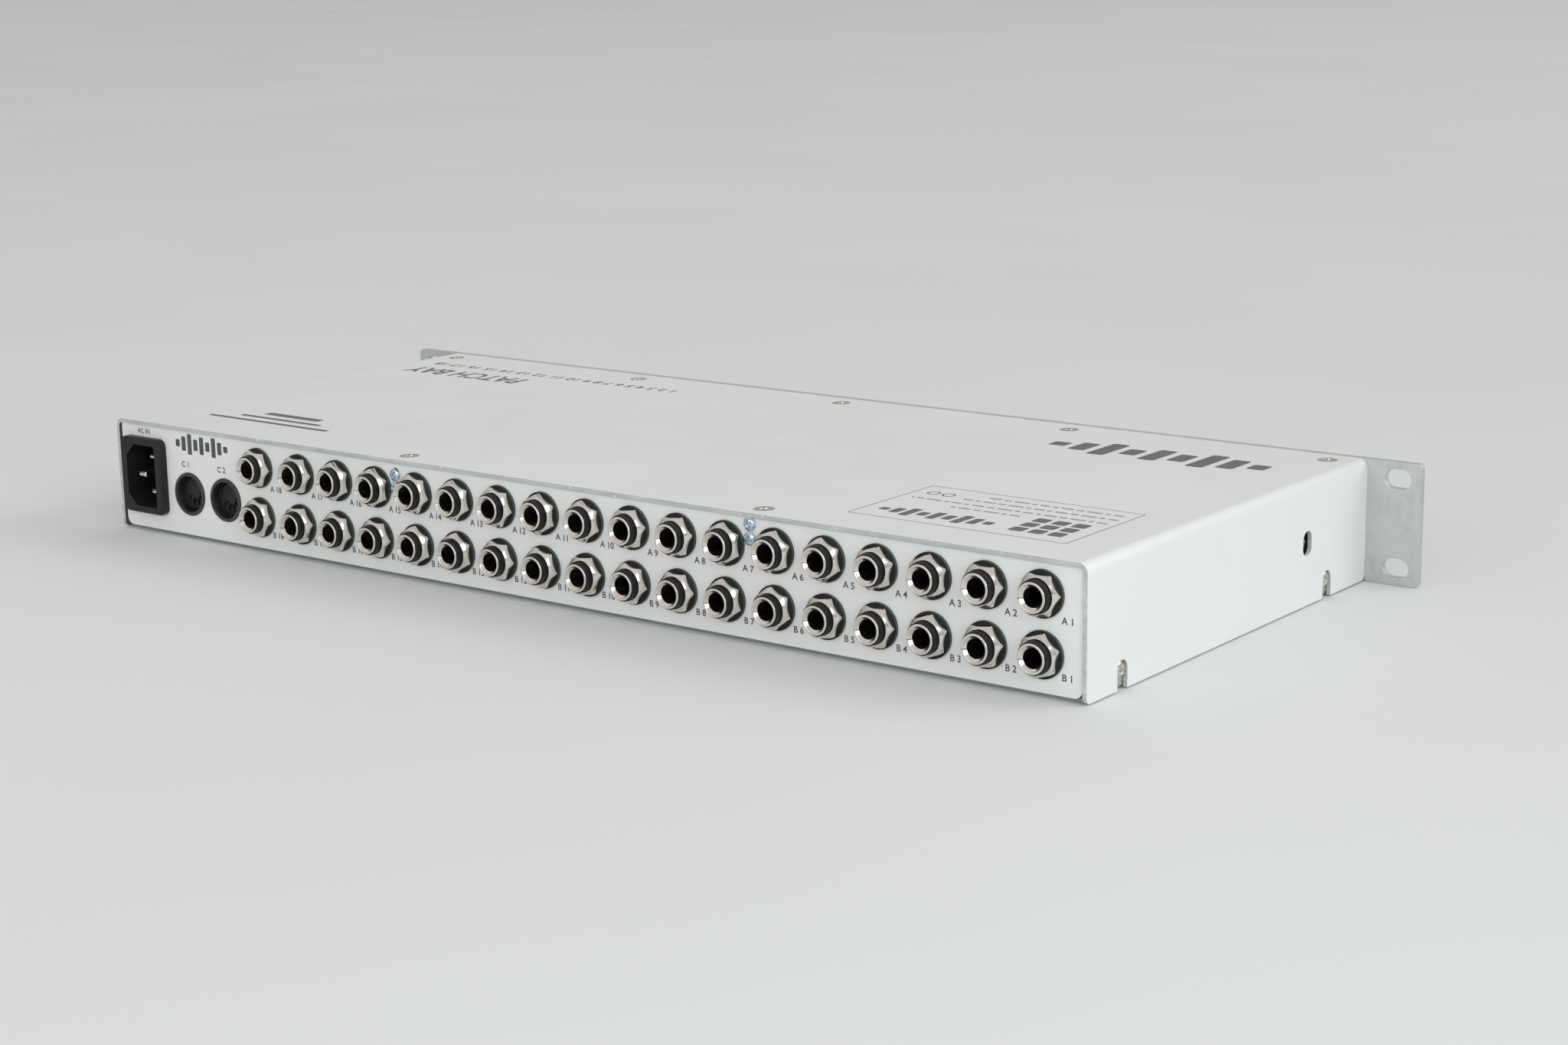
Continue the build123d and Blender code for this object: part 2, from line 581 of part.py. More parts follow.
BOARD_TOP = BOARD_Z + BOARD_THICK
RELAY_ROWS_Y = (38.0, 16.0)
with BuildPart() as relays:
    for y in RELAY_ROWS_Y:
        with Locations(*[(button_x(i) - 122.0, y, BOARD_TOP) for i in range(BUTTON_COUNT)]):
            Box(10.0, 15.0, 10.0, align=(Align.CENTER, Align.CENTER, Align.MIN))
    chamfer(edges().group_by(Axis.Z)[-1], 0.4)
relays.part.label = "relays"
export_step(relays.part, "parts/relays.step")

with BuildPart() as logic_chips:
    with Locations(*[(-190.0 + 34.0 * i, -12.0, BOARD_TOP) for i in range(8)]):
        Box(20.0, 6.4, 4.0, align=(Align.CENTER, Align.CENTER, Align.MIN))
    with Locations((-52.0, -36.0, BOARD_TOP)):
        Box(36.0, 14.0, 4.5, align=(Align.CENTER, Align.CENTER, Align.MIN))
logic_chips.part.label = "logic_chips"
export_step(logic_chips.part, "parts/logic_chips.step")

# ---- power supply ---------------------------------------------------------------------------
POWER_X = 160.0
POWER_Y = -12.0
POWER_WIDTH = 78.0
POWER_DEPTH = 104.0
with BuildPart() as power_board:
    with Locations((POWER_X, POWER_Y, BOARD_Z)):
        Box(POWER_WIDTH, POWER_DEPTH, BOARD_THICK, align=(Align.CENTER, Align.CENTER, Align.MIN))
        with GridLocations(POWER_WIDTH - 10, POWER_DEPTH - 10, 2, 2):
            Hole(M3_HOLE)
power_board.part.label = "power_board"
export_step(power_board.part, "parts/power_board.step")

with BuildPart() as power_transformer:
    with Locations((POWER_X, POWER_Y - 4.0, BOARD_TOP)):
        Box(30.0, 26.0, 22.0, align=(Align.CENTER, Align.CENTER, Align.MIN))
    fillet(edges().filter_by(Axis.Z), 2.0)
power_transformer.part.label = "power_transformer"
export_step(power_transformer.part, "parts/power_transformer.step")

CAPACITORS = ((177.0, 26.0, 8.0, 24.0), (148.0, -42.0, 5.0, 20.0), (162.0, -42.0, 5.0, 20.0))
with BuildPart() as power_capacitors:
    for x, y, radius, height in CAPACITORS:
        with Locations((x, y, BOARD_TOP)):
            Cylinder(radius, height, align=(Align.CENTER, Align.CENTER, Align.MIN))
    fillet(edges().filter_by(GeomType.CIRCLE).group_by(Axis.Z)[-1], 0.8)
power_capacitors.part.label = "power_capacitors"
export_step(power_capacitors.part, "parts/power_capacitors.step")

with BuildPart() as power_fuse:
    with BuildSketch(upright(34.0)):
        with Locations((POWER_X - 22.0, BOARD_TOP + 3.2)):
            Circle(2.6)
    extrude(amount=20.0)
power_fuse.part.label = "power_fuse"
export_step(power_fuse.part, "parts/power_fuse.step")

FIN_COUNT = 6
with BuildPart() as power_heatsink:
    with Locations((POWER_X - 30.0, POWER_Y - 20.0, BOARD_TOP)):
        Box(2.0, 40.0, 22.0, align=(Align.CENTER, Align.CENTER, Align.MIN))
    for i in range(FIN_COUNT):
        with Locations((POWER_X - 29.0, POWER_Y - 38.5 + 7.4 * i, BOARD_TOP)):
            Box(7.0, 1.4, 22.0, align=(Align.MIN, Align.CENTER, Align.MIN))
power_heatsink.part.label = "power_heatsink"
export_step(power_heatsink.part, "parts/power_heatsink.step")

with BuildPart() as power_insulator:
    with Locations((POWER_X, POWER_Y, BASE_SHEET)):
        Box(POWER_WIDTH + 4, POWER_DEPTH + 4, 0.5, align=(Align.CENTER, Align.CENTER, Align.MIN))
        with GridLocations(POWER_WIDTH - 10, POWER_DEPTH - 10, 2, 2):
            Hole(4.0)
power_insulator.part.label = "power_insulator"
export_step(power_insulator.part, "parts/power_insulator.step")

EARTH_X = 206.0
EARTH_Y = 50.0
with BuildPart() as earth_stud:
    with Locations((EARTH_X, EARTH_Y, BASE_SHEET)):
        Cylinder(2.0, 9.0, align=(Align.CENTER, Align.CENTER, Align.MIN))
    with BuildSketch(Plane.XY.offset(BASE_SHEET)):
        with Locations((EARTH_X, EARTH_Y)):
            RegularPolygon(4.0, 6)
    extrude(amount=3.2)
earth_stud.part.label = "earth_stud"
export_step(earth_stud.part, "parts/earth_stud.step")

# ---- fixings under the boards and behind the front board ------------------------------------
main_corners = [
    (MAIN_BOARD_X + sx * (MAIN_BOARD_WIDTH - 12) / 2, MAIN_BOARD_Y + sy * (MAIN_BOARD_DEPTH - 12) / 2)
    for sx in (-1, 0, 1)
    for sy in (-1, 1)
]
power_corners = [
    (POWER_X + sx * (POWER_WIDTH - 10) / 2, POWER_Y + sy * (POWER_DEPTH - 10) / 2)
    for sx in (-1, 1)
    for sy in (-1, 1)
]
FRONT_POST_X = (-143.0, -66.25, 21.25, 108.75, 178.75)
FRONT_POST_Z = 10.0
with BuildPart() as board_standoffs:
    with BuildSketch(Plane.XY.offset(BASE_SHEET)):
        with Locations(*(main_corners + power_corners)):
            RegularPolygon(3.1, 6)
            Circle(M3_HOLE, mode=Mode.SUBTRACT)
    extrude(amount=BOARD_Z - BASE_SHEET)
    with BuildSketch(upright(FRONT_BOARD_Y)):
        with Locations(*[(x, FRONT_POST_Z) for x in FRONT_POST_X]):
            RegularPolygon(3.1, 6)
            Circle(M3_HOLE, mode=Mode.SUBTRACT)
    extrude(amount=FRONT_BOARD_Y - PANEL_BACK)
board_standoffs.part.label = "board_standoffs"
export_step(board_standoffs.part, "parts/board_standoffs.step")

board_screw = pan_screw(2.75, 1.8, M3_RADIUS, 6.0)
board_screws = group_at(
    board_screw,
    [Location((x, y, BOARD_TOP)) for x, y in main_corners + power_corners]
    + [Location((x, FRONT_BOARD_Y + BOARD_THICK, FRONT_POST_Z), (-90, 0, 0)) for x in FRONT_POST_X],
)
board_screws.part.label = "board_screws"
export_step(board_screws.part, "parts/board_screws.step")

# ---- front board, switches, indicators and display ------------------------------------------
FRONT_BOARD_LEFT = -201.0
FRONT_BOARD_RIGHT = 184.0
FRONT_BOARD_BOTTOM = 5.0
FRONT_BOARD_TOP = 34.5
with BuildPart() as front_board:
    with BuildSketch(upright(FRONT_BOARD_Y + BOARD_THICK)):
        with Locations((FRONT_BOARD_LEFT, FRONT_BOARD_BOTTOM)):
            Rectangle(
                FRONT_BOARD_RIGHT - FRONT_BOARD_LEFT,
                FRONT_BOARD_TOP - FRONT_BOARD_BOTTOM,
                align=(Align.MIN, Align.MIN),
            )
        with Locations(*[(x, FRONT_POST_Z) for x in FRONT_POST_X]):
            Circle(M3_HOLE, mode=Mode.SUBTRACT)
    extrude(amount=BOARD_THICK)
front_board.part.label = "front_board"
export_step(front_board.part, "parts/front_board.step")

SWITCH_DEPTH = 3.5
SWITCH_WELL = BUTTON_TRAVEL + 1.5
STEM_RADIUS = 1.7
with BuildPart() as tact_switches:
    with BuildSketch(upright(FRONT_BOARD_Y)):
        with Locations(*(BUTTON_SPOTS + FUNCTION_SPOTS)):
            Rectangle(6.0, 6.0)
    extrude(amount=SWITCH_DEPTH)
    with BuildSketch(upright(FRONT_BOARD_Y - SWITCH_DEPTH + SWITCH_WELL)):
        with Locations(*(BUTTON_SPOTS + FUNCTION_SPOTS)):
            Circle(STEM_RADIUS + 0.2)
    extrude(amount=SWITCH_WELL, mode=Mode.SUBTRACT)
tact_switches.part.label = "tact_switches"
export_step(tact_switches.part, "parts/tact_switches.step")

LED_PROUD = 1.2
with BuildPart() as button_led:
    with BuildSketch(upright(FRONT_BOARD_Y)):
        Circle(LED_RADIUS)
    extrude(amount=FRONT_BOARD_Y - PANEL_FACE + LED_PROUD)
    fillet(edges().group_by(Axis.Y)[0], LED_RADIUS * 0.8)
button_leds = group_at(button_led.part, [Location((button_x(i), 0, LED_Z)) for i in range(BUTTON_COUNT)])
button_leds.part.label = "button_leds"
export_step(button_leds.part, "parts/button_leds.step")

with BuildPart() as display_module:
    with BuildSketch(upright(FRONT_BOARD_Y)):
        with Locations((WINDOW_X, MIDDLE_HEIGHT)):
            Rectangle(WINDOW_WIDTH - 4.0, WINDOW_HEIGHT + 2.0)
    extrude(amount=FRONT_BOARD_Y - PANEL_BACK - GAP)
display_module.part.label = "display_module"
export_step(display_module.part, "parts/display_module.step")

with BuildPart() as display_window:
    with BuildSketch(upright(PANEL_BACK)):
        with Locations((WINDOW_X, MIDDLE_HEIGHT)):
            RectangleRounded(WINDOW_WIDTH - 0.1, WINDOW_HEIGHT - 0.1, 0.95)
    extrude(amount=PANEL_THICK)
display_window.part.label = "display_window"
export_step(display_window.part, "parts/display_window.step")

# ---- push buttons: cap, skirt behind the panel and stem into the switch ---------------------
STEM_END = FRONT_BOARD_Y - SWITCH_DEPTH + 0.7
with BuildPart() as push_button:
    with BuildSketch(upright(PANEL_BACK + GAP)):
        RectangleRounded(BUTTON_WIDTH, BUTTON_HEIGHT, 1.0)
    extrude(amount=PANEL_THICK + CONTROL_PROUD + GAP)
    fillet(faces().sort_by(Axis.Y)[0].outer_wire().edges(), 0.6)
    with BuildSketch(upright(PANEL_BACK + GAP + 1.0)):
        Rectangle(BUTTON_WIDTH + BUTTON_SKIRT, BUTTON_HEIGHT + BUTTON_SKIRT)
    extrude(amount=1.0)
    with BuildSketch(upright(STEM_END)):
        Circle(STEM_RADIUS)
    extrude(amount=STEM_END - PANEL_BACK - GAP - 1.0)

for index in range(BUTTON_COUNT):
    with BuildPart() as loop_button:
        with Locations((button_x(index), 0, MIDDLE_HEIGHT)):
            add(push_button.part)
    loop_button.part.label = f"loop_button_{index + 1:02d}"
    export_step(loop_button.part, f"parts/loop_button_{index + 1:02d}.step")

for name, x in zip(("down_button", "up_button", "store_button"), FUNCTION_BUTTONS_X):
    with BuildPart() as function_button:
        with Locations((x, 0, MIDDLE_HEIGHT)):
            add(push_button.part)
    function_button.part.label = name
    export_step(function_button.part, f"parts/{name}.step")

# ---- power rocker switch --------------------------------------------------------------------
HOUSING_DEPTH = 17.0
BEZEL_THICK = 1.2
ROCKER_RADIUS = 8.6
ROCKER_WIDTH = 9.8
PIVOT_Y = PANEL_FACE + 2.6
with BuildPart() as rocker_housing:
    with BuildSketch(upright(PANEL_FACE)):
        with Locations((ROCKER_X, MIDDLE_HEIGHT)):
            RectangleRounded(ROCKER_CUT_WIDTH + 2.0, ROCKER_CUT_HEIGHT + 2.0, 1.0)
    extrude(amount=BEZEL_THICK)
    with BuildSketch(upright(PANEL_FACE + HOUSING_DEPTH)):
        with Locations((ROCKER_X, MIDDLE_HEIGHT)):
            Rectangle(ROCKER_CUT_WIDTH - 0.2, ROCKER_CUT_HEIGHT - 0.2)
    extrude(amount=HOUSING_DEPTH)
    with BuildSketch(upright(PANEL_FACE - BEZEL_THICK)):
        with Locations((ROCKER_X, MIDDLE_HEIGHT)):
            Rectangle(ROCKER_WIDTH + 0.8, 2 * ROCKER_RADIUS + 0.8)
    extrude(amount=-(HOUSING_DEPTH - 3.0), mode=Mode.SUBTRACT)
rocker_housing.part.label = "rocker_housing"
export_step(rocker_housing.part, "parts/rocker_housing.step")

# The rocker's ends are arcs about its pivot, and its face is a shallow V.
with BuildPart() as rocker_blank:
    with BuildSketch(Plane.YZ):
        Circle(ROCKER_RADIUS)
        Polygon(
            (-3.6, 0), (-4.1, ROCKER_RADIUS), (5.0, ROCKER_RADIUS),
            (5.0, -ROCKER_RADIUS), (-4.1, -ROCKER_RADIUS), align=None, mode=Mode.INTERSECT,
        )
    extrude(amount=ROCKER_WIDTH / 2, both=True)
with BuildPart() as power_rocker:
    with Locations(Location((ROCKER_X, PIVOT_Y, MIDDLE_HEIGHT), (ROCKER_TILT, 0, 0))):
        add(rocker_blank.part)
power_rocker.part.label = "power_rocker"
export_step(power_rocker.part, "parts/power_rocker.step")

# ---- wiring ---------------------------------------------------------------------------------
RIBBON_THICK = 0.9
RIBBON_WIDTH = 32.0
RIBBON_LEFT = -130.0
with BuildPart() as ribbon_cables:
    with BuildSketch(Plane.YZ.offset(RIBBON_LEFT)):
        with BuildLine():
            FilletPolyline(
                (-58.0, BOARD_TOP), (-58.0, 20.0), (-76.0, 26.0), (FRONT_BOARD_Y + BOARD_THICK, 26.0),
                radius=3.0,
            )
        trace(line_width=RIBBON_THICK)
    extrude(amount=RIBBON_WIDTH)
    with BuildSketch(Plane.YZ.offset(RIBBON_LEFT)):
        with BuildLine():
            FilletPolyline(
                (51.0, BOARD_TOP), (51.0, 19.0), (58.0, 22.0), (JACK_BOARD_Y - JACK_BOARD_THICK, 22.0),
                radius=2.4,
            )
        trace(line_width=RIBBON_THICK)
    extrude(amount=RIBBON_WIDTH)
ribbon_cables.part.label = "ribbon_cables"
export_step(ribbon_cables.part, "parts/ribbon_cables.step")

LEAD_RADIUS = 1.2
SWITCH_TAB_Y = PANEL_FACE + HOUSING_DEPTH
LEAD_ROUTES = [
    [
        (blade_x, BLADE_END, blade_z),
        (blade_x, BLADE_END - 12.0, blade_z),
        (209.5, BLADE_END - 30.0, height),
        (209.5, -48.0, height),
        (ROCKER_X, -64.0, height),
        (ROCKER_X, SWITCH_TAB_Y, height),
    ]
    for (blade_x, blade_z), height in zip(LIVE_SPOTS, (27.0, 17.0))
]
with BuildPart() as mains_leads:
    for route in LEAD_ROUTES:
        with BuildLine() as path:
            FilletPolyline(*route, radius=8.0)
        with BuildSketch(Plane(origin=path.line @ 0, z_dir=path.line % 0)):
            Circle(LEAD_RADIUS)
        sweep(path=path.line)
mains_leads.part.label = "mains_leads"
export_step(mains_leads.part, "parts/mains_leads.step")
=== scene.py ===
import json
import math

import bpy
from mathutils import Matrix, Vector


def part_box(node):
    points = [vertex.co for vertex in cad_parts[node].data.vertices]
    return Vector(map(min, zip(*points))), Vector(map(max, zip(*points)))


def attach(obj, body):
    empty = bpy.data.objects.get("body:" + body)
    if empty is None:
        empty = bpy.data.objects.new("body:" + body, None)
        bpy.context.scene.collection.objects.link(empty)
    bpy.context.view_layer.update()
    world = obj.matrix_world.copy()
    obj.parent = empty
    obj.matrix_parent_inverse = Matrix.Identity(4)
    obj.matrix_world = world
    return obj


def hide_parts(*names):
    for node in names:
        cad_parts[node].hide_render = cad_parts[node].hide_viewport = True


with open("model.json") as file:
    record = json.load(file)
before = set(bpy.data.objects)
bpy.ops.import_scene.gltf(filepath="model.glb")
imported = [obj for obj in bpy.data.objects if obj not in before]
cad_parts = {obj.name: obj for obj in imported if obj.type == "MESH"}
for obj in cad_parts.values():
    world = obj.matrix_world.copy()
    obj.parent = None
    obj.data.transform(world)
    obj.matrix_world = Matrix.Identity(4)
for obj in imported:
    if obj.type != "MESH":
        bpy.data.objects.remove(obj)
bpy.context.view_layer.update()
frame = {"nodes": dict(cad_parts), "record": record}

MM = 0.001

# A rack switching patch bay seen from behind. Metres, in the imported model's own frame:
# the sockets face +Y, the controls face -Y and +Z is up.

# ---- places read from the frame --------------------------------------------------------------
MOUNTS = {mount["name"]: mount for mount in frame["record"]["mounts"]}
JACK_NAMES = sorted(name for name in MOUNTS if name.startswith("jack_"))
JACKS = [Vector(MOUNTS[name]["pos_m"]) for name in JACK_NAMES]
COVER_HIGH = Vector(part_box("top_cover")[1])
REAR_LOW, REAR_HIGH = (Vector(corner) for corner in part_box("rear_panel"))
COVER_TOP = COVER_HIGH.z
REAR_FACE = REAR_HIGH.y
REAR_EDGE = COVER_HIGH.y
PANEL_FACE = Vector(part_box("front_panel")[0]).y


def middle(node):
    low, high = (Vector(corner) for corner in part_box(node))
    return (low + high) / 2


def lumps(node, axes, gap):
    """Centres of a node's groups of points, each within a gap of its group's first point."""
    groups = []
    for vertex in frame["nodes"][node].data.vertices:
        key = [vertex.co[axis] for axis in axes]
        for group in groups:
            if all(abs(a - b) < gap for a, b in zip(key, group[0])):
                group.append(key)
                break
        else:
            groups.append([key])
    centres = []
    for group in groups:
        spans = [(min(part), max(part)) for part in zip(*group)]
        centres.append([(low + high) / 2 for low, high in spans])
    return sorted(centres)


COVER_SCREW_SPOTS = lumps("cover_screws", (0, 1), 8 * MM)
BRACKET_SCREW_SPOTS = lumps("bracket_screws", (0, 2), 4.6 * MM)


def side_screw_spots():
    """(side, y, z, distance of the head's top from the middle) of each side screw."""
    spots = []
    for side in (-1, 1):
        mine = [v.co for v in frame["nodes"]["side_screws"].data.vertices if v.co.x * side > 0]
        for y, z in lumps("side_screws", (1, 2), 6 * MM):
            near = [abs(co.x) for co in mine if abs(co.y - y) < 3 * MM and abs(co.z - z) < 3 * MM]
            spots.append((side, y, z, max(near)))
    return spots


SIDE_SCREW_SPOTS = side_screw_spots()


# ---- camera ----------------------------------------------------------------------------------
CAMERA_PLACE = Vector((-622.26, 764.56, 232.22)) * MM
CAMERA_AIM = Vector((-108.21, 94.05, 42.50)) * MM
CAMERA_ROLL = -0.0154
LENS_MM = 62.11
SENSOR_MM = 36.0


def add_camera():
    data = bpy.data.cameras.new("camera")
    data.sensor_width = SENSOR_MM
    data.lens = LENS_MM
    data.clip_start = 0.01
    data.clip_end = 60.0
    camera = bpy.data.objects.new("camera", data)
    bpy.context.scene.collection.objects.link(camera)
    turn = (CAMERA_AIM - CAMERA_PLACE).to_track_quat("-Z", "Y").to_matrix().to_4x4()
    roll = Matrix.Rotation(CAMERA_ROLL, 4, "Z")
    camera.matrix_world = Matrix.Translation(CAMERA_PLACE) @ turn @ roll
    bpy.context.scene.camera = camera


# ---- material nodes --------------------------------------------------------------------------
class Shader:
    """A Principled material with a few short ways to add procedural nodes."""

    def __init__(self, name, color, roughness, metallic=0.0):
        self.material = bpy.data.materials.new(name)
        self.material.use_nodes = True
        self.tree = self.material.node_tree
        self.surface = self.tree.nodes["Principled BSDF"]
        self.surface.inputs["Base Color"].default_value = (*color, 1.0)
        self.surface.inputs["Roughness"].default_value = roughness
        self.surface.inputs["Metallic"].default_value = metallic
        self.places = self.tree.nodes.new("ShaderNodeTexCoord").outputs["Object"]

    def link(self, output, target):
        self.tree.links.new(output, target)

    def mapped(self, scale):
        """Object coordinates stretched by a scale for each axis."""
        node = self.tree.nodes.new("ShaderNodeMapping")
        node.inputs["Scale"].default_value = scale
        self.link(self.places, node.inputs["Vector"])
        return node.outputs["Vector"]

    def noise(self, scale, detail=2.0, rough=0.5, stretch=None):
        node = self.tree.nodes.new("ShaderNodeTexNoise")
        node.inputs["Scale"].default_value = scale
        node.inputs["Detail"].default_value = detail
        node.inputs["Roughness"].default_value = rough
        self.link(self.mapped(stretch) if stretch else self.places, node.inputs["Vector"])
        return node.outputs["Fac"]

    def cells(self, scale):
        node = self.tree.nodes.new("ShaderNodeTexVoronoi")
        node.inputs["Scale"].default_value = scale
        self.link(self.places, node.inputs["Vector"])
        return node.outputs["Distance"]

    def ranged(self, value, low, high, to_low, to_high):
        node = self.tree.nodes.new("ShaderNodeMapRange")
        node.inputs["From Min"].default_value = low
        node.inputs["From Max"].default_value = high
        node.inputs["To Min"].default_value = to_low
        node.inputs["To Max"].default_value = to_high
        self.link(value, node.inputs["Value"])
        return node.outputs["Result"]

    def math(self, operation, first, second):
        node = self.tree.nodes.new("ShaderNodeMath")
        node.operation = operation
        for value, target in ((first, node.inputs[0]), (second, node.inputs[1])):
            if isinstance(value, float):
                target.default_value = value
            else:
                self.link(value, target)
        return node.outputs[0]

    def mixed(self, factor, first, second):
        """A colour between two, each a colour or an output."""
        node = self.tree.nodes.new("ShaderNodeMix")
        node.data_type = "RGBA"
        self.link(factor, node.inputs["Factor"])
        for value, target in ((first, node.inputs[6]), (second, node.inputs[7])):
            if isinstance(value, tuple):
                target.default_value = (*value, 1.0)
            else:
                self.link(value, target)
        return node.outputs[2]

    def blended(self, factor, first, second):
        """A number between two outputs or numbers."""
        node = self.tree.nodes.new("ShaderNodeMix")
        node.data_type = "FLOAT"
        self.link(factor, node.inputs["Factor"])
        for value, target in ((first, node.inputs[2]), (second, node.inputs[3])):
            if isinstance(value, float):
                target.default_value = value
            else:
                self.link(value, target)
        return node.outputs[0]

    def axis(self, source, letter):
        node = self.tree.nodes.new("ShaderNodeSeparateXYZ")
        self.link(source, node.inputs["Vector"])
        return node.outputs[letter]

    def facing(self, letter):
        """One part of the true surface normal, for telling a sheet's cut edge from its faces."""
        node = self.tree.nodes.new("ShaderNodeNewGeometry")
        return self.axis(node.outputs["True Normal"], letter)

    def color(self, output):
        self.link(output, self.surface.inputs["Base Color"])

    def roughness(self, output):
        self.link(output, self.surface.inputs["Roughness"])

    def bump(self, height, strength, distance):
        node = self.tree.nodes.new("ShaderNodeBump")
        node.inputs["Strength"].default_value = strength
        node.inputs["Distance"].default_value = distance
        self.link(height, node.inputs["Height"])
        self.link(node.outputs["Normal"], self.surface.inputs["Normal"])


WHITE = (0.80, 0.805, 0.795)
RAW_EDGE = (0.60, 0.615, 0.575)
COVER_SHEET = 1.5 * MM
SURFACE_SLACK = 0.05 * MM


def coat_height(shader):
    """Powder coat's orange peel: soft lumps about a millimetre across, with a finer grain."""
    peel = shader.noise(900.0, 1.0)
    grain = shader.noise(3200.0, 1.0)
    return shader.math("ADD", peel, shader.math("MULTIPLY", grain, 0.35))


def tinted(color, factor):
    return tuple(part * factor for part in color)


def raw_edge_color(shader):
    """A sheared edge: long faint streaks, fine grain and a few bright nicks of chipped coat."""
    streak = shader.ranged(shader.noise(900.0, 3.0, 0.6, (0.09, 1.0, 0.4)), 0.34, 0.66, 0.0, 1.0)
    metal = shader.mixed(streak, tinted(RAW_EDGE, 0.80), tinted(RAW_EDGE, 1.08))
    grain = shader.ranged(shader.noise(2600.0, 2.0), 0.35, 0.72, 0.0, 0.5)
    metal = shader.mixed(grain, metal, tinted(RAW_EDGE, 0.92))
    nicks = shader.ranged(shader.noise(620.0, 4.0, 0.7), 0.63, 0.68, 0.0, 1.0)
    return shader.mixed(nicks, metal, (0.86, 0.87, 0.84))


def coated_sheet(name, is_bare, is_painted_shade=None):
    """White powder coat, raw metal where is_bare(shader) gives 1 and dark painted shade where the
    shade mask gives 1.
    """
    shader = Shader(name, WHITE, 0.46)
    bare = is_bare(shader)
    cloud = shader.ranged(shader.noise(14.0, 3.0), 0.3, 0.7, 0.0, 1.0)
    coat = shader.mixed(cloud, (0.785, 0.787, 0.768), (0.82, 0.820, 0.804))
    # Painted shade: the cover's inner faces are painted dark for the shadow inside the unit.
    if is_painted_shade:
        coat = shader.mixed(is_painted_shade(shader), coat, (0.09, 0.092, 0.09))
    shader.color(shader.mixed(bare, coat, raw_edge_color(shader)))
    coat_rough = shader.ranged(shader.noise(60.0, 2.0), 0.3, 0.7, 0.42, 0.5)
    shader.roughness(shader.blended(bare, coat_rough, 0.42))
    shader.link(shader.math("MULTIPLY", bare, 0.3), shader.surface.inputs["Metallic"])
    shader.bump(coat_height(shader), 0.16, 0.00008)
    return shader.material


def cover_bare(shader):
    """The cover's cut edges: its ends, and the walls of the side notches and slots."""
    ends = shader.math("GREATER_THAN", shader.math("ABSOLUTE", shader.facing("Y"), 0.0), 0.6)
    down = shader.math("LESS_THAN", shader.facing("Z"), -0.6)
    low = shader.math("LESS_THAN", shader.axis(shader.places, "Z"), 0.030)
    return shader.math("MAXIMUM", ends, shader.math("MULTIPLY", down, low))


def cover_painted_shade(shader):
    """The cover's inner faces, darkened with painted shade for the shadow inside the cover."""
    across = shader.math("ABSOLUTE", shader.axis(shader.places, "X"), 0.0)
    between = shader.math("LESS_THAN", across, COVER_HIGH.x - COVER_SHEET + SURFACE_SLACK)
    height = shader.axis(shader.places, "Z")
    under = shader.math("LESS_THAN", height, COVER_TOP - COVER_SHEET + SURFACE_SLACK)
    return shader.math("MULTIPLY", between, under)


def rear_panel_bare(shader):
    """The rear panel is coated front and back; only its hole walls and rim are cut metal."""
    flat = shader.math("GREATER_THAN", shader.math("ABSOLUTE", shader.facing("Y"), 0.0), 0.6)
    return shader.math("SUBTRACT", 1.0, flat)


def metal_mottle(shader, color, dark, light):
    """Matte mill-finish aluminium: clouds, fine streaks and darker handling marks."""
    clouds = shader.ranged(shader.noise(55.0, 5.0, 0.62), 0.32, 0.68, 0.0, 1.0)
    streaks = shader.noise(420.0, 3.0, 0.6, (1.0, 1.0, 0.16))
    smudge = shader.ranged(shader.noise(150.0, 4.0, 0.7), 0.56, 0.72, 0.0, 1.0)
    base = shader.mixed(clouds, tinted(color, dark), tinted(color, light))
    fine = shader.mixed(shader.ranged(streaks, 0.3, 0.7, 0.0, 1.0), base, color)
    worn = shader.mixed(shader.math("MULTIPLY", smudge, 0.35), fine, tinted(color, 0.62))
    return worn, clouds


def bare_aluminium(name, color):
    """Mill-finish sheet; its end faces in the lowest 1.6 mm, front and rear, are darkened with
    painted shade.
    """
    shader = Shader(name, color, 0.5, 0.8)
    worn, clouds = metal_mottle(shader, color, 0.86, 1.06)
    ends = shader.math("GREATER_THAN", shader.math("ABSOLUTE", shader.facing("Y"), 0.0), 0.9)
    low = shader.math("LESS_THAN", shader.axis(shader.places, "Z"), 1.6 * MM)
    # Painted shade: the low end faces are painted dark grey, standing for the shadow under the rear
    # panel.
    shader.color(shader.mixed(shader.math("MULTIPLY", ends, low), worn, (0.40, 0.41, 0.42)))
    shader.roughness(shader.ranged(clouds, 0.0, 1.0, 0.58, 0.44))
    shader.bump(shader.noise(1500.0, 3.0, 0.6, (1.0, 1.0, 0.3)), 0.25, 0.00006)
    return shader.material


def front_panel_material():
    """White coat on the front, bare mottled metal on the back, ears' backs and edges."""
    bare_color = (0.60, 0.62, 0.60)
    shader = Shader("panel_aluminium", bare_color, 0.5)
    front = shader.math("LESS_THAN", shader.facing("Y"), -0.45)
    worn, clouds = metal_mottle(shader, bare_color, 0.84, 1.08)
    shader.color(shader.mixed(front, worn, WHITE))
    shader.link(shader.ranged(front, 0.0, 1.0, 0.72, 0.0), shader.surface.inputs["Metallic"])
    shader.roughness(shader.blended(front, shader.ranged(clouds, 0.0, 1.0, 0.6, 0.46), 0.46))
    grain = shader.noise(1500.0, 3.0, 0.6, (1.0, 1.0, 0.3))
    shader.bump(shader.blended(front, grain, coat_height(shader)), 0.22, 0.00007)
    return shader.material


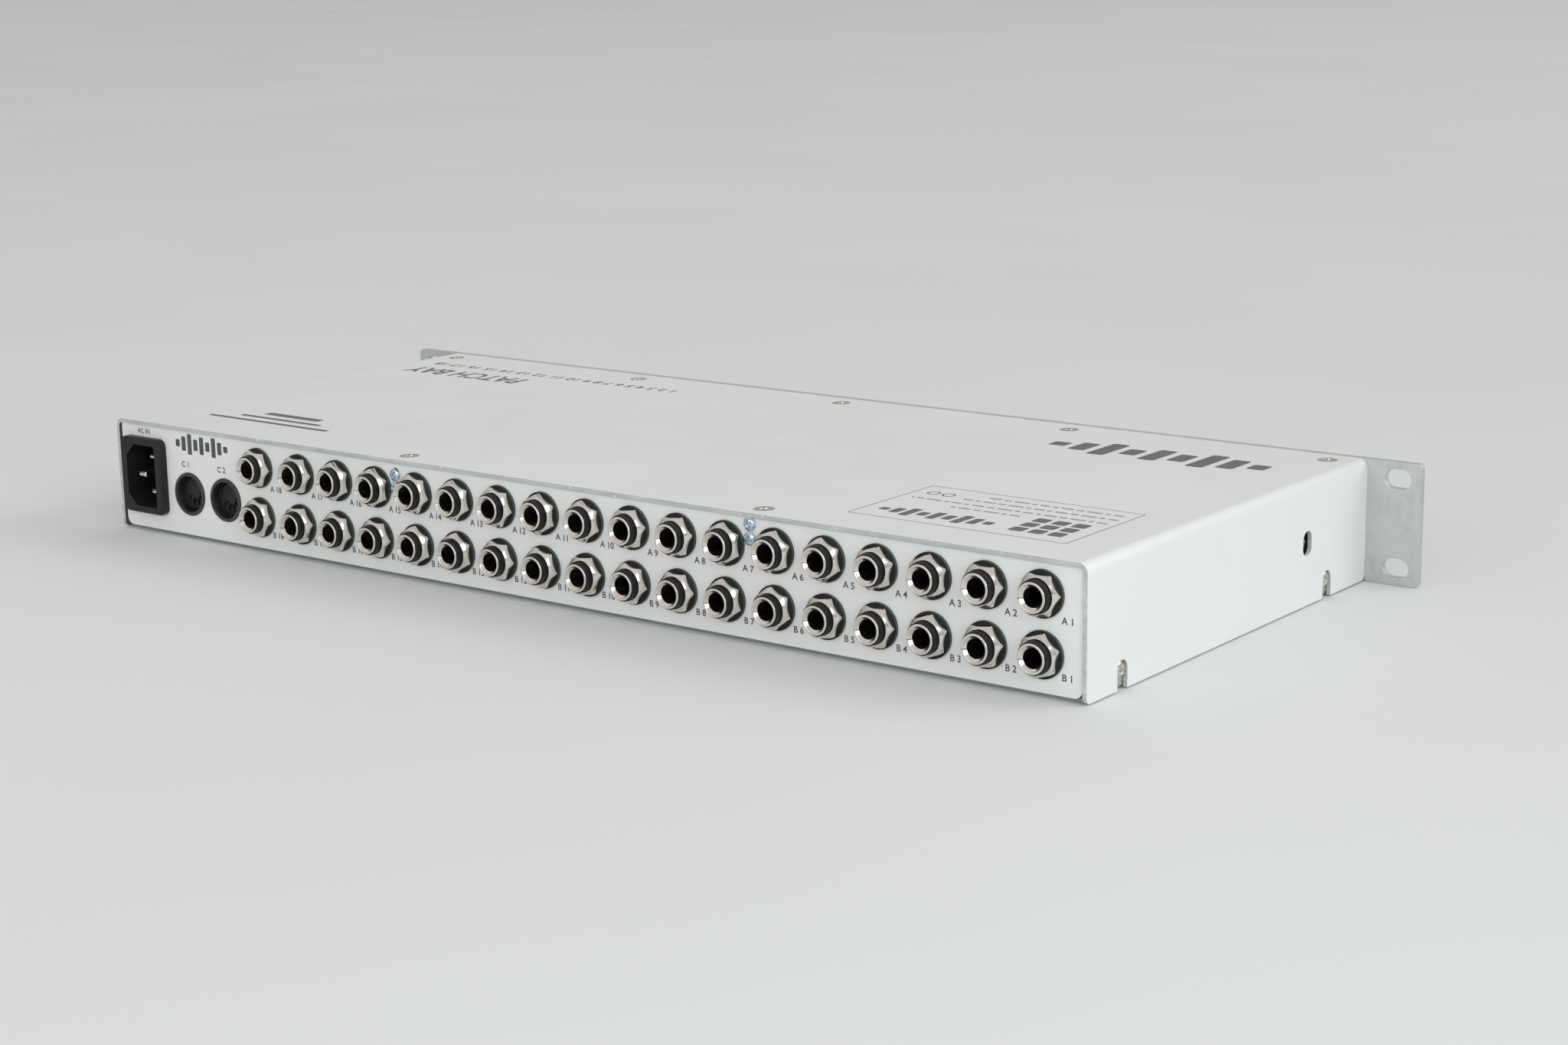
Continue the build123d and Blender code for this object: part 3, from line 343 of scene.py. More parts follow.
def plated(name, color, low_rough, high_rough, scratch=0.12):
    """Polished plating with faint tone changes and fine scratches."""
    shader = Shader(name, color, low_rough, 1.0)
    tone = shader.ranged(shader.noise(90.0, 3.0), 0.3, 0.7, 0.0, 1.0)
    shader.color(shader.mixed(tone, tinted(color, 0.92), tinted(color, 1.04)))
    rub = shader.noise(700.0, 4.0, 0.65)
    shader.roughness(shader.ranged(rub, 0.3, 0.7, low_rough, high_rough))
    shader.bump(shader.noise(2600.0, 3.0, 0.6, (1.0, 0.25, 1.0)), scratch, 0.00004)
    return shader.material


def moulded(name, color, roughness, grain=0.25, light=1.35, specular=0.5):
    """Moulded plastic with a fine grain and slight tone change."""
    shader = Shader(name, color, roughness)
    shader.surface.inputs["Specular IOR Level"].default_value = specular
    tone = shader.ranged(shader.noise(120.0, 3.0), 0.3, 0.7, 0.0, 1.0)
    shader.color(shader.mixed(tone, color, tuple(min(1.0, part * light) for part in color)))
    rub = shader.noise(500.0, 3.0)
    shader.roughness(shader.ranged(rub, 0.3, 0.7, roughness - 0.05, roughness + 0.07))
    shader.bump(shader.noise(3500.0, 2.0), grain, 0.00005)
    return shader.material


def fibre_washer():
    """Black vulcanised fibre, its turned rim paler and greener than its face."""
    shader = Shader("black_washer", (0.010, 0.011, 0.010), 0.5)
    shader.surface.inputs["Specular IOR Level"].default_value = 0.25
    rim = shader.math("LESS_THAN", shader.math("ABSOLUTE", shader.facing("Y"), 0.0), 0.62)
    mottle = shader.ranged(shader.noise(700.0, 3.0), 0.3, 0.7, 0.0, 1.0)
    face = shader.mixed(mottle, (0.008, 0.009, 0.008), (0.016, 0.018, 0.016))
    layers = shader.mixed(mottle, (0.052, 0.070, 0.060), (0.082, 0.104, 0.090))
    shader.color(shader.mixed(rim, face, layers))
    shader.roughness(shader.ranged(mottle, 0.0, 1.0, 0.44, 0.58))
    shader.bump(shader.noise(2600.0, 3.0), 0.3, 0.00005)
    return shader.material


def circuit_board():
    """Green solder resist with faint tracks and small pale pads."""
    shader = Shader("circuit_board", (0.02, 0.13, 0.05), 0.35)
    wave = shader.noise(260.0, 1.0, 0.4, (0.2, 1.0, 1.0))
    tracks = shader.ranged(wave, 0.49, 0.51, 0.0, 1.0)
    pads = shader.ranged(shader.cells(240.0), 0.08, 0.12, 1.0, 0.0)
    green = shader.mixed(tracks, (0.015, 0.10, 0.04), (0.03, 0.17, 0.07))
    shader.color(shader.mixed(pads, green, (0.62, 0.60, 0.52)))
    shader.bump(tracks, 0.2, 0.00003)
    return shader.material


def ink(name, color):
    """Screen-printed ink, thin in places."""
    shader = Shader(name, color, 0.5)
    thin = shader.ranged(shader.noise(1800.0, 3.0), 0.45, 0.8, 0.0, 1.0)
    shader.color(shader.mixed(thin, color, tuple(part * 1.5 + 0.02 for part in color)))
    shader.roughness(shader.ranged(shader.noise(900.0, 2.0), 0.3, 0.7, 0.42, 0.58))
    return shader.material


def make_materials():
    return {
        # The cover's coat carries painted shade on its inner faces.
        "white_coat": coated_sheet("cover_coat", cover_bare, cover_painted_shade),
        "rear_coat": coated_sheet("rear_coat", rear_panel_bare),
        "panel_aluminium": front_panel_material(),
        "bare_aluminium": bare_aluminium("bare_aluminium", (0.60, 0.61, 0.59)),
        "nickel": plated("nickel", (0.78, 0.74, 0.685), 0.13, 0.24),
        "nickel_screw": plated("nickel_screw", (0.70, 0.68, 0.62), 0.20, 0.34),
        "zinc_screw": plated("zinc_screw", (0.62, 0.71, 0.80), 0.20, 0.34),
        "spring_metal": plated("spring_metal", (0.70, 0.69, 0.64), 0.2, 0.32),
        "black_plastic": moulded("black_plastic", (0.009, 0.009, 0.0095), 0.40, specular=0.25),
        "inlet_plastic": moulded(
            "inlet_plastic", (0.011, 0.0115, 0.0115), 0.42, 0.35, specular=0.3
        ),
        "din_rim": moulded("din_rim", (0.030, 0.033, 0.027), 0.38, 0.5, 1.7, specular=0.4),
        "din_shield": plated("din_shield", (0.11, 0.115, 0.10), 0.40, 0.55, 0.3),
        "din_face": moulded("din_face", (0.017, 0.018, 0.017), 0.44, 0.35, specular=0.3),
        "black_washer": fibre_washer(),
        "circuit_board": circuit_board(),
        "relay_case": moulded("relay_case", (0.62, 0.63, 0.60), 0.36),
        "chip_epoxy": moulded("chip_epoxy", (0.02, 0.02, 0.02), 0.6, 0.4),
        "transformer_tape": moulded("transformer_tape", (0.62, 0.47, 0.05), 0.4),
        "capacitor_sleeve": moulded("capacitor_sleeve", (0.01, 0.015, 0.05), 0.3),
        "fuse_ceramic": moulded("fuse_ceramic", (0.72, 0.70, 0.64), 0.28),
        "insulator_sheet": moulded("insulator_sheet", (0.70, 0.70, 0.60), 0.3),
        "lead_sleeve": moulded("lead_sleeve", (0.10, 0.035, 0.015), 0.45),
        "ribbon_sleeve": moulded("ribbon_sleeve", (0.30, 0.31, 0.32), 0.45),
        "led_lens": moulded("led_lens", (0.34, 0.012, 0.01), 0.18, 0.05),
        "display_case": moulded("display_case", (0.02, 0.02, 0.02), 0.4),
        "window_tint": moulded("window_tint", (0.03, 0.006, 0.006), 0.12, 0.02),
        "rocker_plastic": moulded("rocker_plastic", (0.014, 0.014, 0.014), 0.3, 0.1),
        "button_cap": moulded("button_cap", (0.055, 0.056, 0.058), 0.42),
        "function_cap": moulded("function_cap", (0.30, 0.305, 0.31), 0.42),
        "dim_segment": moulded("dim_segment", (0.13, 0.018, 0.015), 0.25, 0.05),
        "ink": ink("ink", (0.065, 0.066, 0.068)),
        "top_ink": ink("top_ink", (0.115, 0.116, 0.118)),
    }


# ---- mesh helpers ----------------------------------------------------------------------------
def new_piece(name, vertices, faces, material, body="root", slot=None, sharp_degrees=35.0):
    """A smooth-shaded mesh with creases above an angle, riding on a body."""
    mesh = bpy.data.meshes.new(name)
    mesh.from_pydata(vertices, [], faces)
    mesh.validate()
    mesh.shade_smooth()
    mesh.set_sharp_from_angle(angle=math.radians(sharp_degrees))
    mesh.materials.append(material)
    piece = bpy.data.objects.new(name, mesh)
    bpy.context.scene.collection.objects.link(piece)
    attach(piece, body)
    return piece


class Loft:
    """Rings about the Y axis, each a radius (a number or a function of angle and y) at a y."""

    def __init__(self, segments):
        self.segments = segments
        self.vertices = []
        self.faces = []

    def mesh(self):
        return self.vertices, self.faces

    def ring(self, radius, y, turn=0.0):
        start = len(self.vertices)
        for k in range(self.segments):
            angle = 2 * math.pi * k / self.segments
            r = radius(angle, y) if callable(radius) else radius
            self.vertices.append((r * math.cos(angle + turn), y, r * math.sin(angle + turn)))
        return start

    def join(self, first, second):
        n = self.segments
        for k in range(n):
            after = (k + 1) % n
            self.faces.append((first + k, first + after, second + after, second + k))

    def closed(self, profile, turn=0.0):
        """A ring-shaped solid: the profile's last point joins its first."""
        starts = [self.ring(radius, y, turn) for radius, y in profile]
        for first, second in zip(starts, starts[1:] + starts[:1]):
            self.join(first, second)

    def capped(self, profile, turn=0.0):
        """A solid with a flat face at both ends of the profile."""
        starts = [self.ring(radius, y, turn) for radius, y in profile]
        for first, second in zip(starts, starts[1:]):
            self.join(first, second)
        n = self.segments
        self.faces.append(tuple(starts[0] + k for k in reversed(range(n))))
        self.faces.append(tuple(starts[-1] + k for k in range(n)))


def moved(mesh, place):
    vertices, faces = mesh
    return [(x + place[0], y + place[1], z + place[2]) for x, y, z in vertices], faces


def joined(parts):
    vertices, faces = [], []
    for part_vertices, part_faces in parts:
        start = len(vertices)
        vertices += part_vertices
        faces += [tuple(start + i for i in face) for face in part_faces]
    return vertices, faces


def copies(mesh, places):
    """A mesh repeated at each place."""
    return joined(moved(mesh, place) for place in places)


def arc(centre, radius, start_degrees, end_degrees, steps):
    """Points of an arc in (radius, y), for rounding a profile's edge."""
    points = []
    for k in range(steps + 1):
        angle = math.radians(start_degrees + (end_degrees - start_degrees) * k / steps)
        points.append((centre[0] + radius * math.cos(angle), centre[1] + radius * math.sin(angle)))
    return points


# ---- jack sockets ----------------------------------------------------------------------------
JACK_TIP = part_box("jack_ferrules")[1][1] - REAR_FACE
FERRULE_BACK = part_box("jack_ferrules")[0][1] - REAR_FACE
BODY_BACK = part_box("jack_bodies")[0][1] - REAR_FACE
TAB_REACH = 25 * MM
BODY_FRONT = REAR_LOW.y + TAB_REACH - REAR_FACE
BODY_CORNER = 0.9 * MM
BODY_INSET = 0.999
BODY_FLOOR = 1.6 * MM
WASHER_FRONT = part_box("jack_washers")[1][1] - REAR_FACE
NUT_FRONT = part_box("jack_nuts")[1][1] - REAR_FACE
JACK_SPOTS = [(jack.x, REAR_FACE, jack.z) for jack in JACKS]
PLUG_BORE = 3.25 * MM
PLUG_WELL = 4.0 * MM
RIM_RADIUS = 4.9 * MM
RIM_THICK = 0.6 * MM
LEAD_IN = 4.1 * MM
LEAD_IN_DEPTH = 1.0 * MM
FERRULE_RADIUS = 4.2 * MM
BUSH_RADIUS = 5.35 * MM
THREAD_PITCH = 0.75 * MM
THREAD_DEPTH = 0.05 * MM
THREAD_STEPS = 36
NUT_FLATS = 12.7 * MM
NUT_BLUNTING = 1.13
NUT_CHAMFER_DEGREES = 36
WASHER_RADIUS = 7.6 * MM
SEAM_DEGREES = 2.4
SEAM_AT_DEGREES = 352.0


def ferrule_profile():
    """(radius, y) round the rolled rim, down the lead-in and along the tube."""
    edge = 0.2 * MM
    front = JACK_TIP
    back = JACK_TIP - RIM_THICK
    rim = arc((RIM_RADIUS - edge, front - edge), edge, 0, 90, 4)
    inner = arc((LEAD_IN + edge, front - edge), edge, 90, 150, 3)
    bore_top = (PLUG_BORE, front - LEAD_IN_DEPTH)
    outer_low = [
        (FERRULE_RADIUS, FERRULE_BACK),
        (FERRULE_RADIUS, back),
        (RIM_RADIUS - edge / 2, back),
    ]
    bore_low = [(PLUG_BORE, front - LEAD_IN_DEPTH - 0.3 * MM), (PLUG_BORE, FERRULE_BACK)]
    return outer_low + rim + inner + [bore_top] + bore_low


def ferrule_mesh(segments=72):
    """The ferrule is rolled from strip, so a narrow seam is left open along one side."""
    profile = ferrule_profile()
    vertices, faces = [], []
    sweep = math.radians(360 - SEAM_DEGREES)
    begin = math.radians(SEAM_AT_DEGREES + SEAM_DEGREES / 2)
    count = len(profile)
    for k in range(segments + 1):
        angle = begin + sweep * k / segments
        vertices += [(r * math.cos(angle), y, r * math.sin(angle)) for r, y in profile]
    for k in range(segments):
        for i in range(count):
            j = (i + 1) % count
            a, b = k * count, (k + 1) * count
            faces.append((a + i, b + i, b + j, a + j))
    faces.append(tuple(range(count)))
    faces.append(tuple(segments * count + i for i in reversed(range(count))))
    return vertices, faces


def thread_radius(angle, y):
    """A helical thread: the crest moves on by one pitch in each turn."""
    phase = (y / THREAD_PITCH - angle / (2 * math.pi)) % 1.0
    return BUSH_RADIUS - THREAD_DEPTH * abs(2 * phase - 1)


def square_radius(half, corner):
    """Radius of a square with rounded corners, as a function of angle."""

    def radius(angle, _y):
        power = 2 * half / corner
        c, s = abs(math.cos(angle)), abs(math.sin(angle))
        return half / (c**power + s**power) ** (1 / power)

    return radius


def jack_body_loft():
    loft = Loft(64)
    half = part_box("jack_bodies")[1][0] - max(jack.x for jack in JACKS)
    square = square_radius(half * BODY_INSET, BODY_CORNER)
    bush_front = JACK_TIP - RIM_THICK
    seat = FERRULE_RADIUS + 0.02 * MM
    profile = [(PLUG_WELL, BODY_BACK + BODY_FLOOR), (PLUG_WELL, FERRULE_BACK), (seat, FERRULE_BACK)]
    profile += [(seat, bush_front), (BUSH_RADIUS - 0.45 * MM, bush_front)]
    top = bush_front - 0.25 * MM
    bottom = NUT_FRONT - 0.1 * MM
    step = (bottom - top) / THREAD_STEPS
    profile += [(thread_radius, top + step * k) for k in range(THREAD_STEPS + 1)]
    root_radius = BUSH_RADIUS - THREAD_DEPTH
    profile += [(root_radius, bottom - 0.1 * MM), (root_radius, BODY_FRONT)]
    profile += [(square, BODY_FRONT), (square, BODY_BACK)]
    loft.capped(profile)
    return loft


def nut_loft(turn):
    """A hexagon nut whose conical chamfer cuts its corners into curved scallops."""
    loft = Loft(72)
    flat_radius = BUSH_RADIUS + 0.4 * MM
    blunt = NUT_FLATS / 2 * NUT_BLUNTING
    back = WASHER_FRONT

    def hexagon(angle, _y=0.0):
        local = (angle % (math.pi / 3)) - math.pi / 6
        return min(NUT_FLATS / 2 / math.cos(local), blunt)

    bore = BUSH_RADIUS + 0.02 * MM
    profile = [(bore, back), (bore, NUT_FRONT - 0.2 * MM), (bore + 0.2 * MM, NUT_FRONT)]
    starts = [loft.ring(radius, y, turn) for radius, y in profile]
    starts.append(loft.ring(flat_radius, NUT_FRONT, turn))
    start = len(loft.vertices)
    for k in range(loft.segments):
        angle = 2 * math.pi * k / loft.segments
        radius = hexagon(angle)
        y = NUT_FRONT - (radius - flat_radius) * math.tan(math.radians(NUT_CHAMFER_DEGREES))
        loft.vertices.append((radius * math.cos(angle + turn), y, radius * math.sin(angle + turn)))
    starts.append(start)
    starts.append(loft.ring(hexagon, back, turn))
    for first, second in zip(starts, starts[1:] + starts[:1]):
        loft.join(first, second)
    return loft


def add_jacks(materials):
    rims = copies(ferrule_mesh(), JACK_SPOTS)
    ferrules = new_piece("jack_rims", *rims, materials["nickel"], slot="nickel")
    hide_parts("jack_ferrules")

    bushes = copies(jack_body_loft().mesh(), JACK_SPOTS)
    black = materials["black_plastic"]
    bodies = new_piece("jack_threaded_bodies", *bushes, black, slot="black_plastic")
    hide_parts("jack_bodies")

    nuts = []
    for index, spot in enumerate(JACK_SPOTS):
        turn = math.radians((47.0 * index * index + 13.0 * index) % 60)
        nuts.append(moved(nut_loft(turn).mesh(), spot))
    nickel = materials["nickel"]
    nut_piece = new_piece("jack_hex_nuts", *joined(nuts), nickel, slot="nickel", sharp_degrees=24.0)
    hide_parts("jack_nuts")

    washer = Loft(72)
    edge = 0.25 * MM
    bore = BUSH_RADIUS + 0.15 * MM
    front, back = WASHER_FRONT, 0.0
    washer.closed(
        [(bore, back), (bore, front)]
        + list(reversed(arc((WASHER_RADIUS - edge, front - edge), edge, 0, 90, 4)))
        + [(WASHER_RADIUS, back)]
    )
    discs = copies(washer.mesh(), JACK_SPOTS)
    fibre = materials["black_washer"]
    washers = new_piece("jack_fibre_washers", *discs, fibre, slot="black_washer")
    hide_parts("jack_washers")


# ---- screws with cross recesses --------------------------------------------------------------
HEAD_RINGS = 12
COVER_RECESS = (1.75 * MM, 0.42 * MM, 0.95 * MM)
PAN_RECESS = (1.55 * MM, 0.38 * MM, 0.9 * MM)
COVER_SCREW = (3.5 * MM, 1.4 * MM, 0.02 * MM, 1.5 * MM, 7.0 * MM, COVER_RECESS)
BRACKET_SCREW = (2.25 * MM, 1.5 * MM, 0.75 * MM, 1.25 * MM, 6.5 * MM, PAN_RECESS)
SIDE_SCREW = (2.75 * MM, 1.6 * MM, 0.8 * MM, 1.5 * MM, 7.6 * MM, PAN_RECESS)
BRACKET_HEAD_PROUD = 1.5 * MM
POINTING_UP = Matrix(((1, 0, 0), (0, 0, -1), (0, 1, 0)))
POINTING_REAR = Matrix.Identity(3)
POINTING_OUT = {
    -1: Matrix(((0, -1, 0), (1, 0, 0), (0, 0, 1))),
    1: Matrix(((0, 1, 0), (-1, 0, 0), (0, 0, 1))),
}


def cross_depth(across, along, half, arm, depth):
    """How far a cross recess cuts below a point: full depth in the arms, sloping at their ends."""
    reach, side = max(abs(across), abs(along)), min(abs(across), abs(along))
    wall = min(1.0, max(0.0, (arm - side) / (arm * 0.3)))
    end = min(1.0, max(0.0, (half - reach) / (half * 0.45)))
    return depth * wall * end


def screw_loft(head_radius, head_height, dome, shank_radius, length, recess, turn):
    """A screw along -Y, its head's top at the origin; recess is half span, half arm and depth."""
    loft = Loft(64)
    half, arm, depth = recess
    starts = []
    for ring in range(1, HEAD_RINGS + 1):
        radius = head_radius * ring / HEAD_RINGS
        start = len(loft.vertices)
        for k in range(loft.segments):
            angle = 2 * math.pi * k / loft.segments
            u, v = radius * math.cos(angle), radius * math.sin(angle)
            fall = dome * (ring / HEAD_RINGS) ** 3
            cut = cross_depth(u, v, half, arm, depth)
            x = radius * math.cos(angle + turn)
            z = radius * math.sin(angle + turn)
            loft.vertices.append((x, -fall - cut, z))
        starts.append(start)
    shank = ((shank_radius, -head_height), (shank_radius, -length))
    starts += [loft.ring(radius, y) for radius, y in shank]
    for first, second in zip(starts, starts[1:]):
        loft.join(first, second)
    loft.faces.append(tuple(starts[0] + k for k in range(loft.segments)))
    loft.faces.append(tuple(starts[-1] + k for k in reversed(range(loft.segments))))
    return loft


def turned(loft, turn, place):
    """The loft's mesh turned by a matrix and moved to a place."""
    vertices = [tuple(turn @ Vector(vertex) + Vector(place)) for vertex in loft.vertices]
    return vertices, loft.faces


def add_screws(materials):
    nickel, zinc = materials["nickel_screw"], materials["zinc_screw"]
    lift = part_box("cover_screws")[1][2]
    cover = []
    for index, (x, y) in enumerate(COVER_SCREW_SPOTS):
        turn = math.radians(29.0 * index * index + 12.0)
        cover.append(turned(screw_loft(*COVER_SCREW, turn), POINTING_UP, (x, y, lift)))
    piece = new_piece("lid_screws", *joined(cover), nickel, slot="nickel_screw")
    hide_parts("cover_screws")

    bracket = []
    for index, (x, z) in enumerate(BRACKET_SCREW_SPOTS):
        turn = math.radians(37.0 * index + 18.0)
        place = (x, REAR_FACE + BRACKET_HEAD_PROUD, z)
        bracket.append(turned(screw_loft(*BRACKET_SCREW, turn), POINTING_REAR, place))
    piece = new_piece("rear_bracket_screws", *joined(bracket), zinc, slot="zinc_screw")
    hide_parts("bracket_screws")

    side_parts = []
    for side, y, z, head_top in SIDE_SCREW_SPOTS:
        # Each screw stops at an angle of its own, which only has to look unplanned
        turn = math.radians(900.0 * abs(y) / (abs(y) + 0.1) + 40.0 * side)
        place = (side * head_top, y, z)
        side_parts.append(turned(screw_loft(*SIDE_SCREW, turn), POINTING_OUT[side], place))
    piece = new_piece("notch_screws", *joined(side_parts), nickel, slot="nickel_screw")
    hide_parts("side_screws")


# ---- round sockets ---------------------------------------------------------------------------
def add_din_shields(materials):
    """The thin sprung shield ring just inside each round socket's bore."""
    outer, thick, depth, setback = 7.15 * MM, 0.16 * MM, 2.9 * MM, 0.35 * MM
    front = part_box("din_socket_bodies")[1][1] - setback
    back = front - depth
    loft = Loft(72)
    lip = arc((outer - thick / 2, front - thick / 2), thick / 2, 0, 180, 4)
    loft.closed([(outer, back)] + lip + [(outer - thick, back)])
    spots = [MOUNTS[name]["pos_m"] for name in ("din_a", "din_b")]
    rings = copies(loft.mesh(), [(spot[0], 0.0, spot[2]) for spot in spots])
    new_piece("din_shield_rings", *rings, materials["din_shield"], slot="spring_metal")


# ---- printing --------------------------------------------------------------------------------
INK_LIFT = 0.03 * MM
CAP_SHARE = 0.7
TYPE_WEIGHT = 0.026
REAR_READING = Matrix(((-1, 0, 0), (0, 0, 1), (0, 1, 0))).to_4x4()
TOP_READING = Matrix.Identity(4)
FRONT_READING = Matrix(((1, 0, 0), (0, 0, -1), (0, 1, 0))).to_4x4()


def text_mesh(text, cap_height, place, reading, width=None):
    """Vertices and faces of a line of type, centred on place, from Blender's own typeface."""
    curve = bpy.data.curves.new("type", "FONT")
    curve.body = text
    curve.align_x = "CENTER"
    curve.align_y = "CENTER"
    curve.size = cap_height / CAP_SHARE
    curve.resolution_u = 3
    curve.offset = cap_height * TYPE_WEIGHT
    source = bpy.data.objects.new("type", curve)
    mesh = bpy.data.meshes.new_from_object(source)
    squeeze = 1.0
    if width:
        extent = max(v.co.x for v in mesh.vertices) - min(v.co.x for v in mesh.vertices)
        squeeze = width / extent
    turn = Matrix.Translation(place) @ reading @ Matrix.Diagonal((squeeze, 1, 1, 1))
    vertices = [tuple(turn @ v.co) for v in mesh.vertices]
    faces = [tuple(p.vertices) for p in mesh.polygons]
    bpy.data.objects.remove(source)
    bpy.data.curves.remove(curve)
    bpy.data.meshes.remove(mesh)
    return vertices, faces


def bar(centre_u, centre_v, width, height, place, reading, slant=0.0):
    """A printed bar, its corners cut a little; slant leans its top over."""
    cut = min(width, height) * 0.12
    w, h = width / 2, height / 2
    outline = [
        (-w + cut, -h), (w - cut, -h), (w, -h + cut), (w, h - cut),
        (w - cut, h), (-w + cut, h), (-w, h - cut), (-w, -h + cut),
    ]
    turn = Matrix.Translation(place) @ reading
    points = [Vector((centre_u + u + slant * v, centre_v + v, 0)) for u, v in outline]
    return [tuple(turn @ point) for point in points], [tuple(range(len(outline)))]


def hoop(centre_u, centre_v, radius, thick, place, reading, segments=40):
    """A printed ring."""
    turn = Matrix.Translation(place) @ reading
    vertices, faces = [], []
    for k in range(segments):
        angle = 2 * math.pi * k / segments
        for r in (radius, radius - thick):
            point = Vector((centre_u + r * math.cos(angle), centre_v + r * math.sin(angle), 0))
            vertices.append(tuple(turn @ point))
    for k in range(segments):
        a, b = 2 * k, 2 * ((k + 1) % segments)
        faces.append((a, b, b + 1, a + 1))
    return vertices, faces


def level_mark(width, height, place, reading):
    """A generic sound-level mark: upright bars that rise and fall."""
    rises = (0.35, 0.7, 1.0, 0.55, 0.85, 0.45, 0.95, 0.6, 0.3)
    step = width / len(rises)
    return [
        bar((i - (len(rises) - 1) / 2) * step, 0.0, step * 0.68, height * rise, place, reading)
        for i, rise in enumerate(rises)
    ]


def dashes(left, right, place):
    """A line of small upright strokes in groups, standing for small print that says nothing."""
    strokes = (4, 2, 6, 3, 5, 2)
    stroke, pitch, gap, height = 0.55, 0.95, 1.1, 1.5
    parts = []
    x, index = left, 0
    while x < right:
        for _ in range(strokes[index % len(strokes)]):
            if x < right:
                parts.append(bar(0, 0, stroke * MM, height * MM, place(x), TOP_READING))
            x += pitch
        x += gap
        index += 1
    return parts


SOCKET_LABEL_ASIDE = 8.9 * MM
ROW_A_LABEL_Z = 25.0 * MM
ROW_B_LABEL_Z = 7.35 * MM
DIN_LABEL_Z = 29.2 * MM


def add_rear_print(materials):
    cap = 2.2 * MM
    y = REAR_FACE + INK_LIFT
    parts = []
    for name, jack in zip(JACK_NAMES, JACKS):
        row, number = name[5].upper(), int(name[6:])
        label_z = ROW_A_LABEL_Z if row == "A" else ROW_B_LABEL_Z
        place = Vector((jack.x - SOCKET_LABEL_ASIDE, y, label_z))
        parts.append(text_mesh(f"{row} {number}", cap, place, REAR_READING))
    for name, word in (("din_a", "C 1"), ("din_b", "C 2")):
        x = MOUNTS[name]["pos_m"][0] + 1.7 * MM
        parts.append(text_mesh(word, cap, Vector((x, y, DIN_LABEL_Z)), REAR_READING))
    inlet = MOUNTS["mains_inlet"]["pos_m"]
    inlet_label = Vector((inlet[0] + 0.7 * MM, y, 39.9 * MM))
    parts.append(text_mesh("AC IN", 1.9 * MM, inlet_label, REAR_READING))
    parts += level_mark(30.6 * MM, 8.0 * MM, Vector((172.4 * MM, y, 37.4 * MM)), REAR_READING)
    new_piece("rear_print", *joined(parts), materials["ink"])


# (left, right, distance in front of the cover's rear edge) of the plate's greeked lines, in mm
SMALL_PRINT = (
    (-169.0, -142.0, 43.7),
    (-197.9, -123.7, 49.5),
    (-198.4, -140.5, 55.6),
    (-197.0, -147.0, 61.5),
)
# (x, distance in front of the rear edge, length, height) of the plain block's bars, in mm
BLOCK_BARS = ((161.5, 38.6, 30.0, 4.0), (161.5, 31.5, 44.0, 2.4), (161.5, 25.0, 66.0, 2.4))
TILE = 5.4 * MM


def add_top_print(materials):
    z = COVER_TOP + INK_LIFT
    parts = []

    def spot(x, behind):
        """A place on the cover, x across and a distance in front of its rear edge."""
        return Vector((x * MM, REAR_EDGE - behind * MM, z))

    # A plain plate: an outline with greeked lines and plain marks in it
    line = 0.35 * MM
    plate = spot(-160.7, 43.3)
    width, depth = 82.0 * MM, 48.6 * MM
    for side in (-1, 1):
        parts.append(bar(0, side * depth / 2, width, line, plate, TOP_READING))
        parts.append(bar(side * width / 2, 0, line, depth, plate, TOP_READING))
    parts += level_mark(45.0 * MM, 11.0 * MM, spot(-146.7, 29.8), TOP_READING)
    for left, right, behind in SMALL_PRINT:
        parts += dashes(left, right, lambda x: spot(x, behind))
    for x in (-126.6, -132.6):
        parts.append(hoop(0, 0, 2.4 * MM, 0.6 * MM, spot(x, 58.2), TOP_READING))
    for row in range(3):
        for column in range(3):
            place = spot(-193.2 + 7.2 * column, 28.2 + 7.0 * row)
            parts.append(bar(0, 0, TILE, TILE, place, TOP_READING))

    # The large mark, the name, the sockets' numbers and the plain block behind them
    numbering = " ".join(str(number + 1) for number in range(len(JACKS) // 2))
    parts += level_mark(90.0 * MM, 22.0 * MM, spot(-156.7, 154.2), TOP_READING)
    parts.append(text_mesh("PATCH BAY", 11.0 * MM, spot(174.0, 148.5), TOP_READING, 64.0 * MM))
    parts.append(text_mesh(numbering, 4.6 * MM, spot(139.0, 164.0), TOP_READING, 134.0 * MM))
    for x, behind, length, height in BLOCK_BARS:
        parts.append(bar(0, 0, length * MM, height * MM, spot(x, behind), TOP_READING))
    new_piece("top_print", *joined(parts), materials["top_ink"])


DIGIT_HEIGHT = 9.0 * MM
DIGIT_PITCH = 9.0 * MM
SEGMENT_THICK = 0.95 * MM


def add_display_digits(materials):
    """The unlit seven-segment digits that show faintly through the window."""
    window = middle("display_window")
    place = Vector((window.x, PANEL_FACE - INK_LIFT, window.z))
    half, width, slant = DIGIT_HEIGHT / 2, DIGIT_HEIGHT * 0.52, 0.12
    parts = []
    for digit in range(4):
        u = (digit - 1.5) * DIGIT_PITCH
        for v in (-half, 0.0, half):
            centre = u + slant * v
            parts.append(bar(centre, v, width * 0.78, SEGMENT_THICK, place, FRONT_READING))
        for side in (-1, 1):
            for v in (-half / 2, half / 2):
                centre = u + side * width / 2 + slant * v
                length = half * 0.80
                parts.append(bar(centre, v, SEGMENT_THICK, length, place, FRONT_READING, slant))
    new_piece("display_digits", *joined(parts), materials["dim_segment"])


BUTTON_LABEL_Z = 13.2 * MM


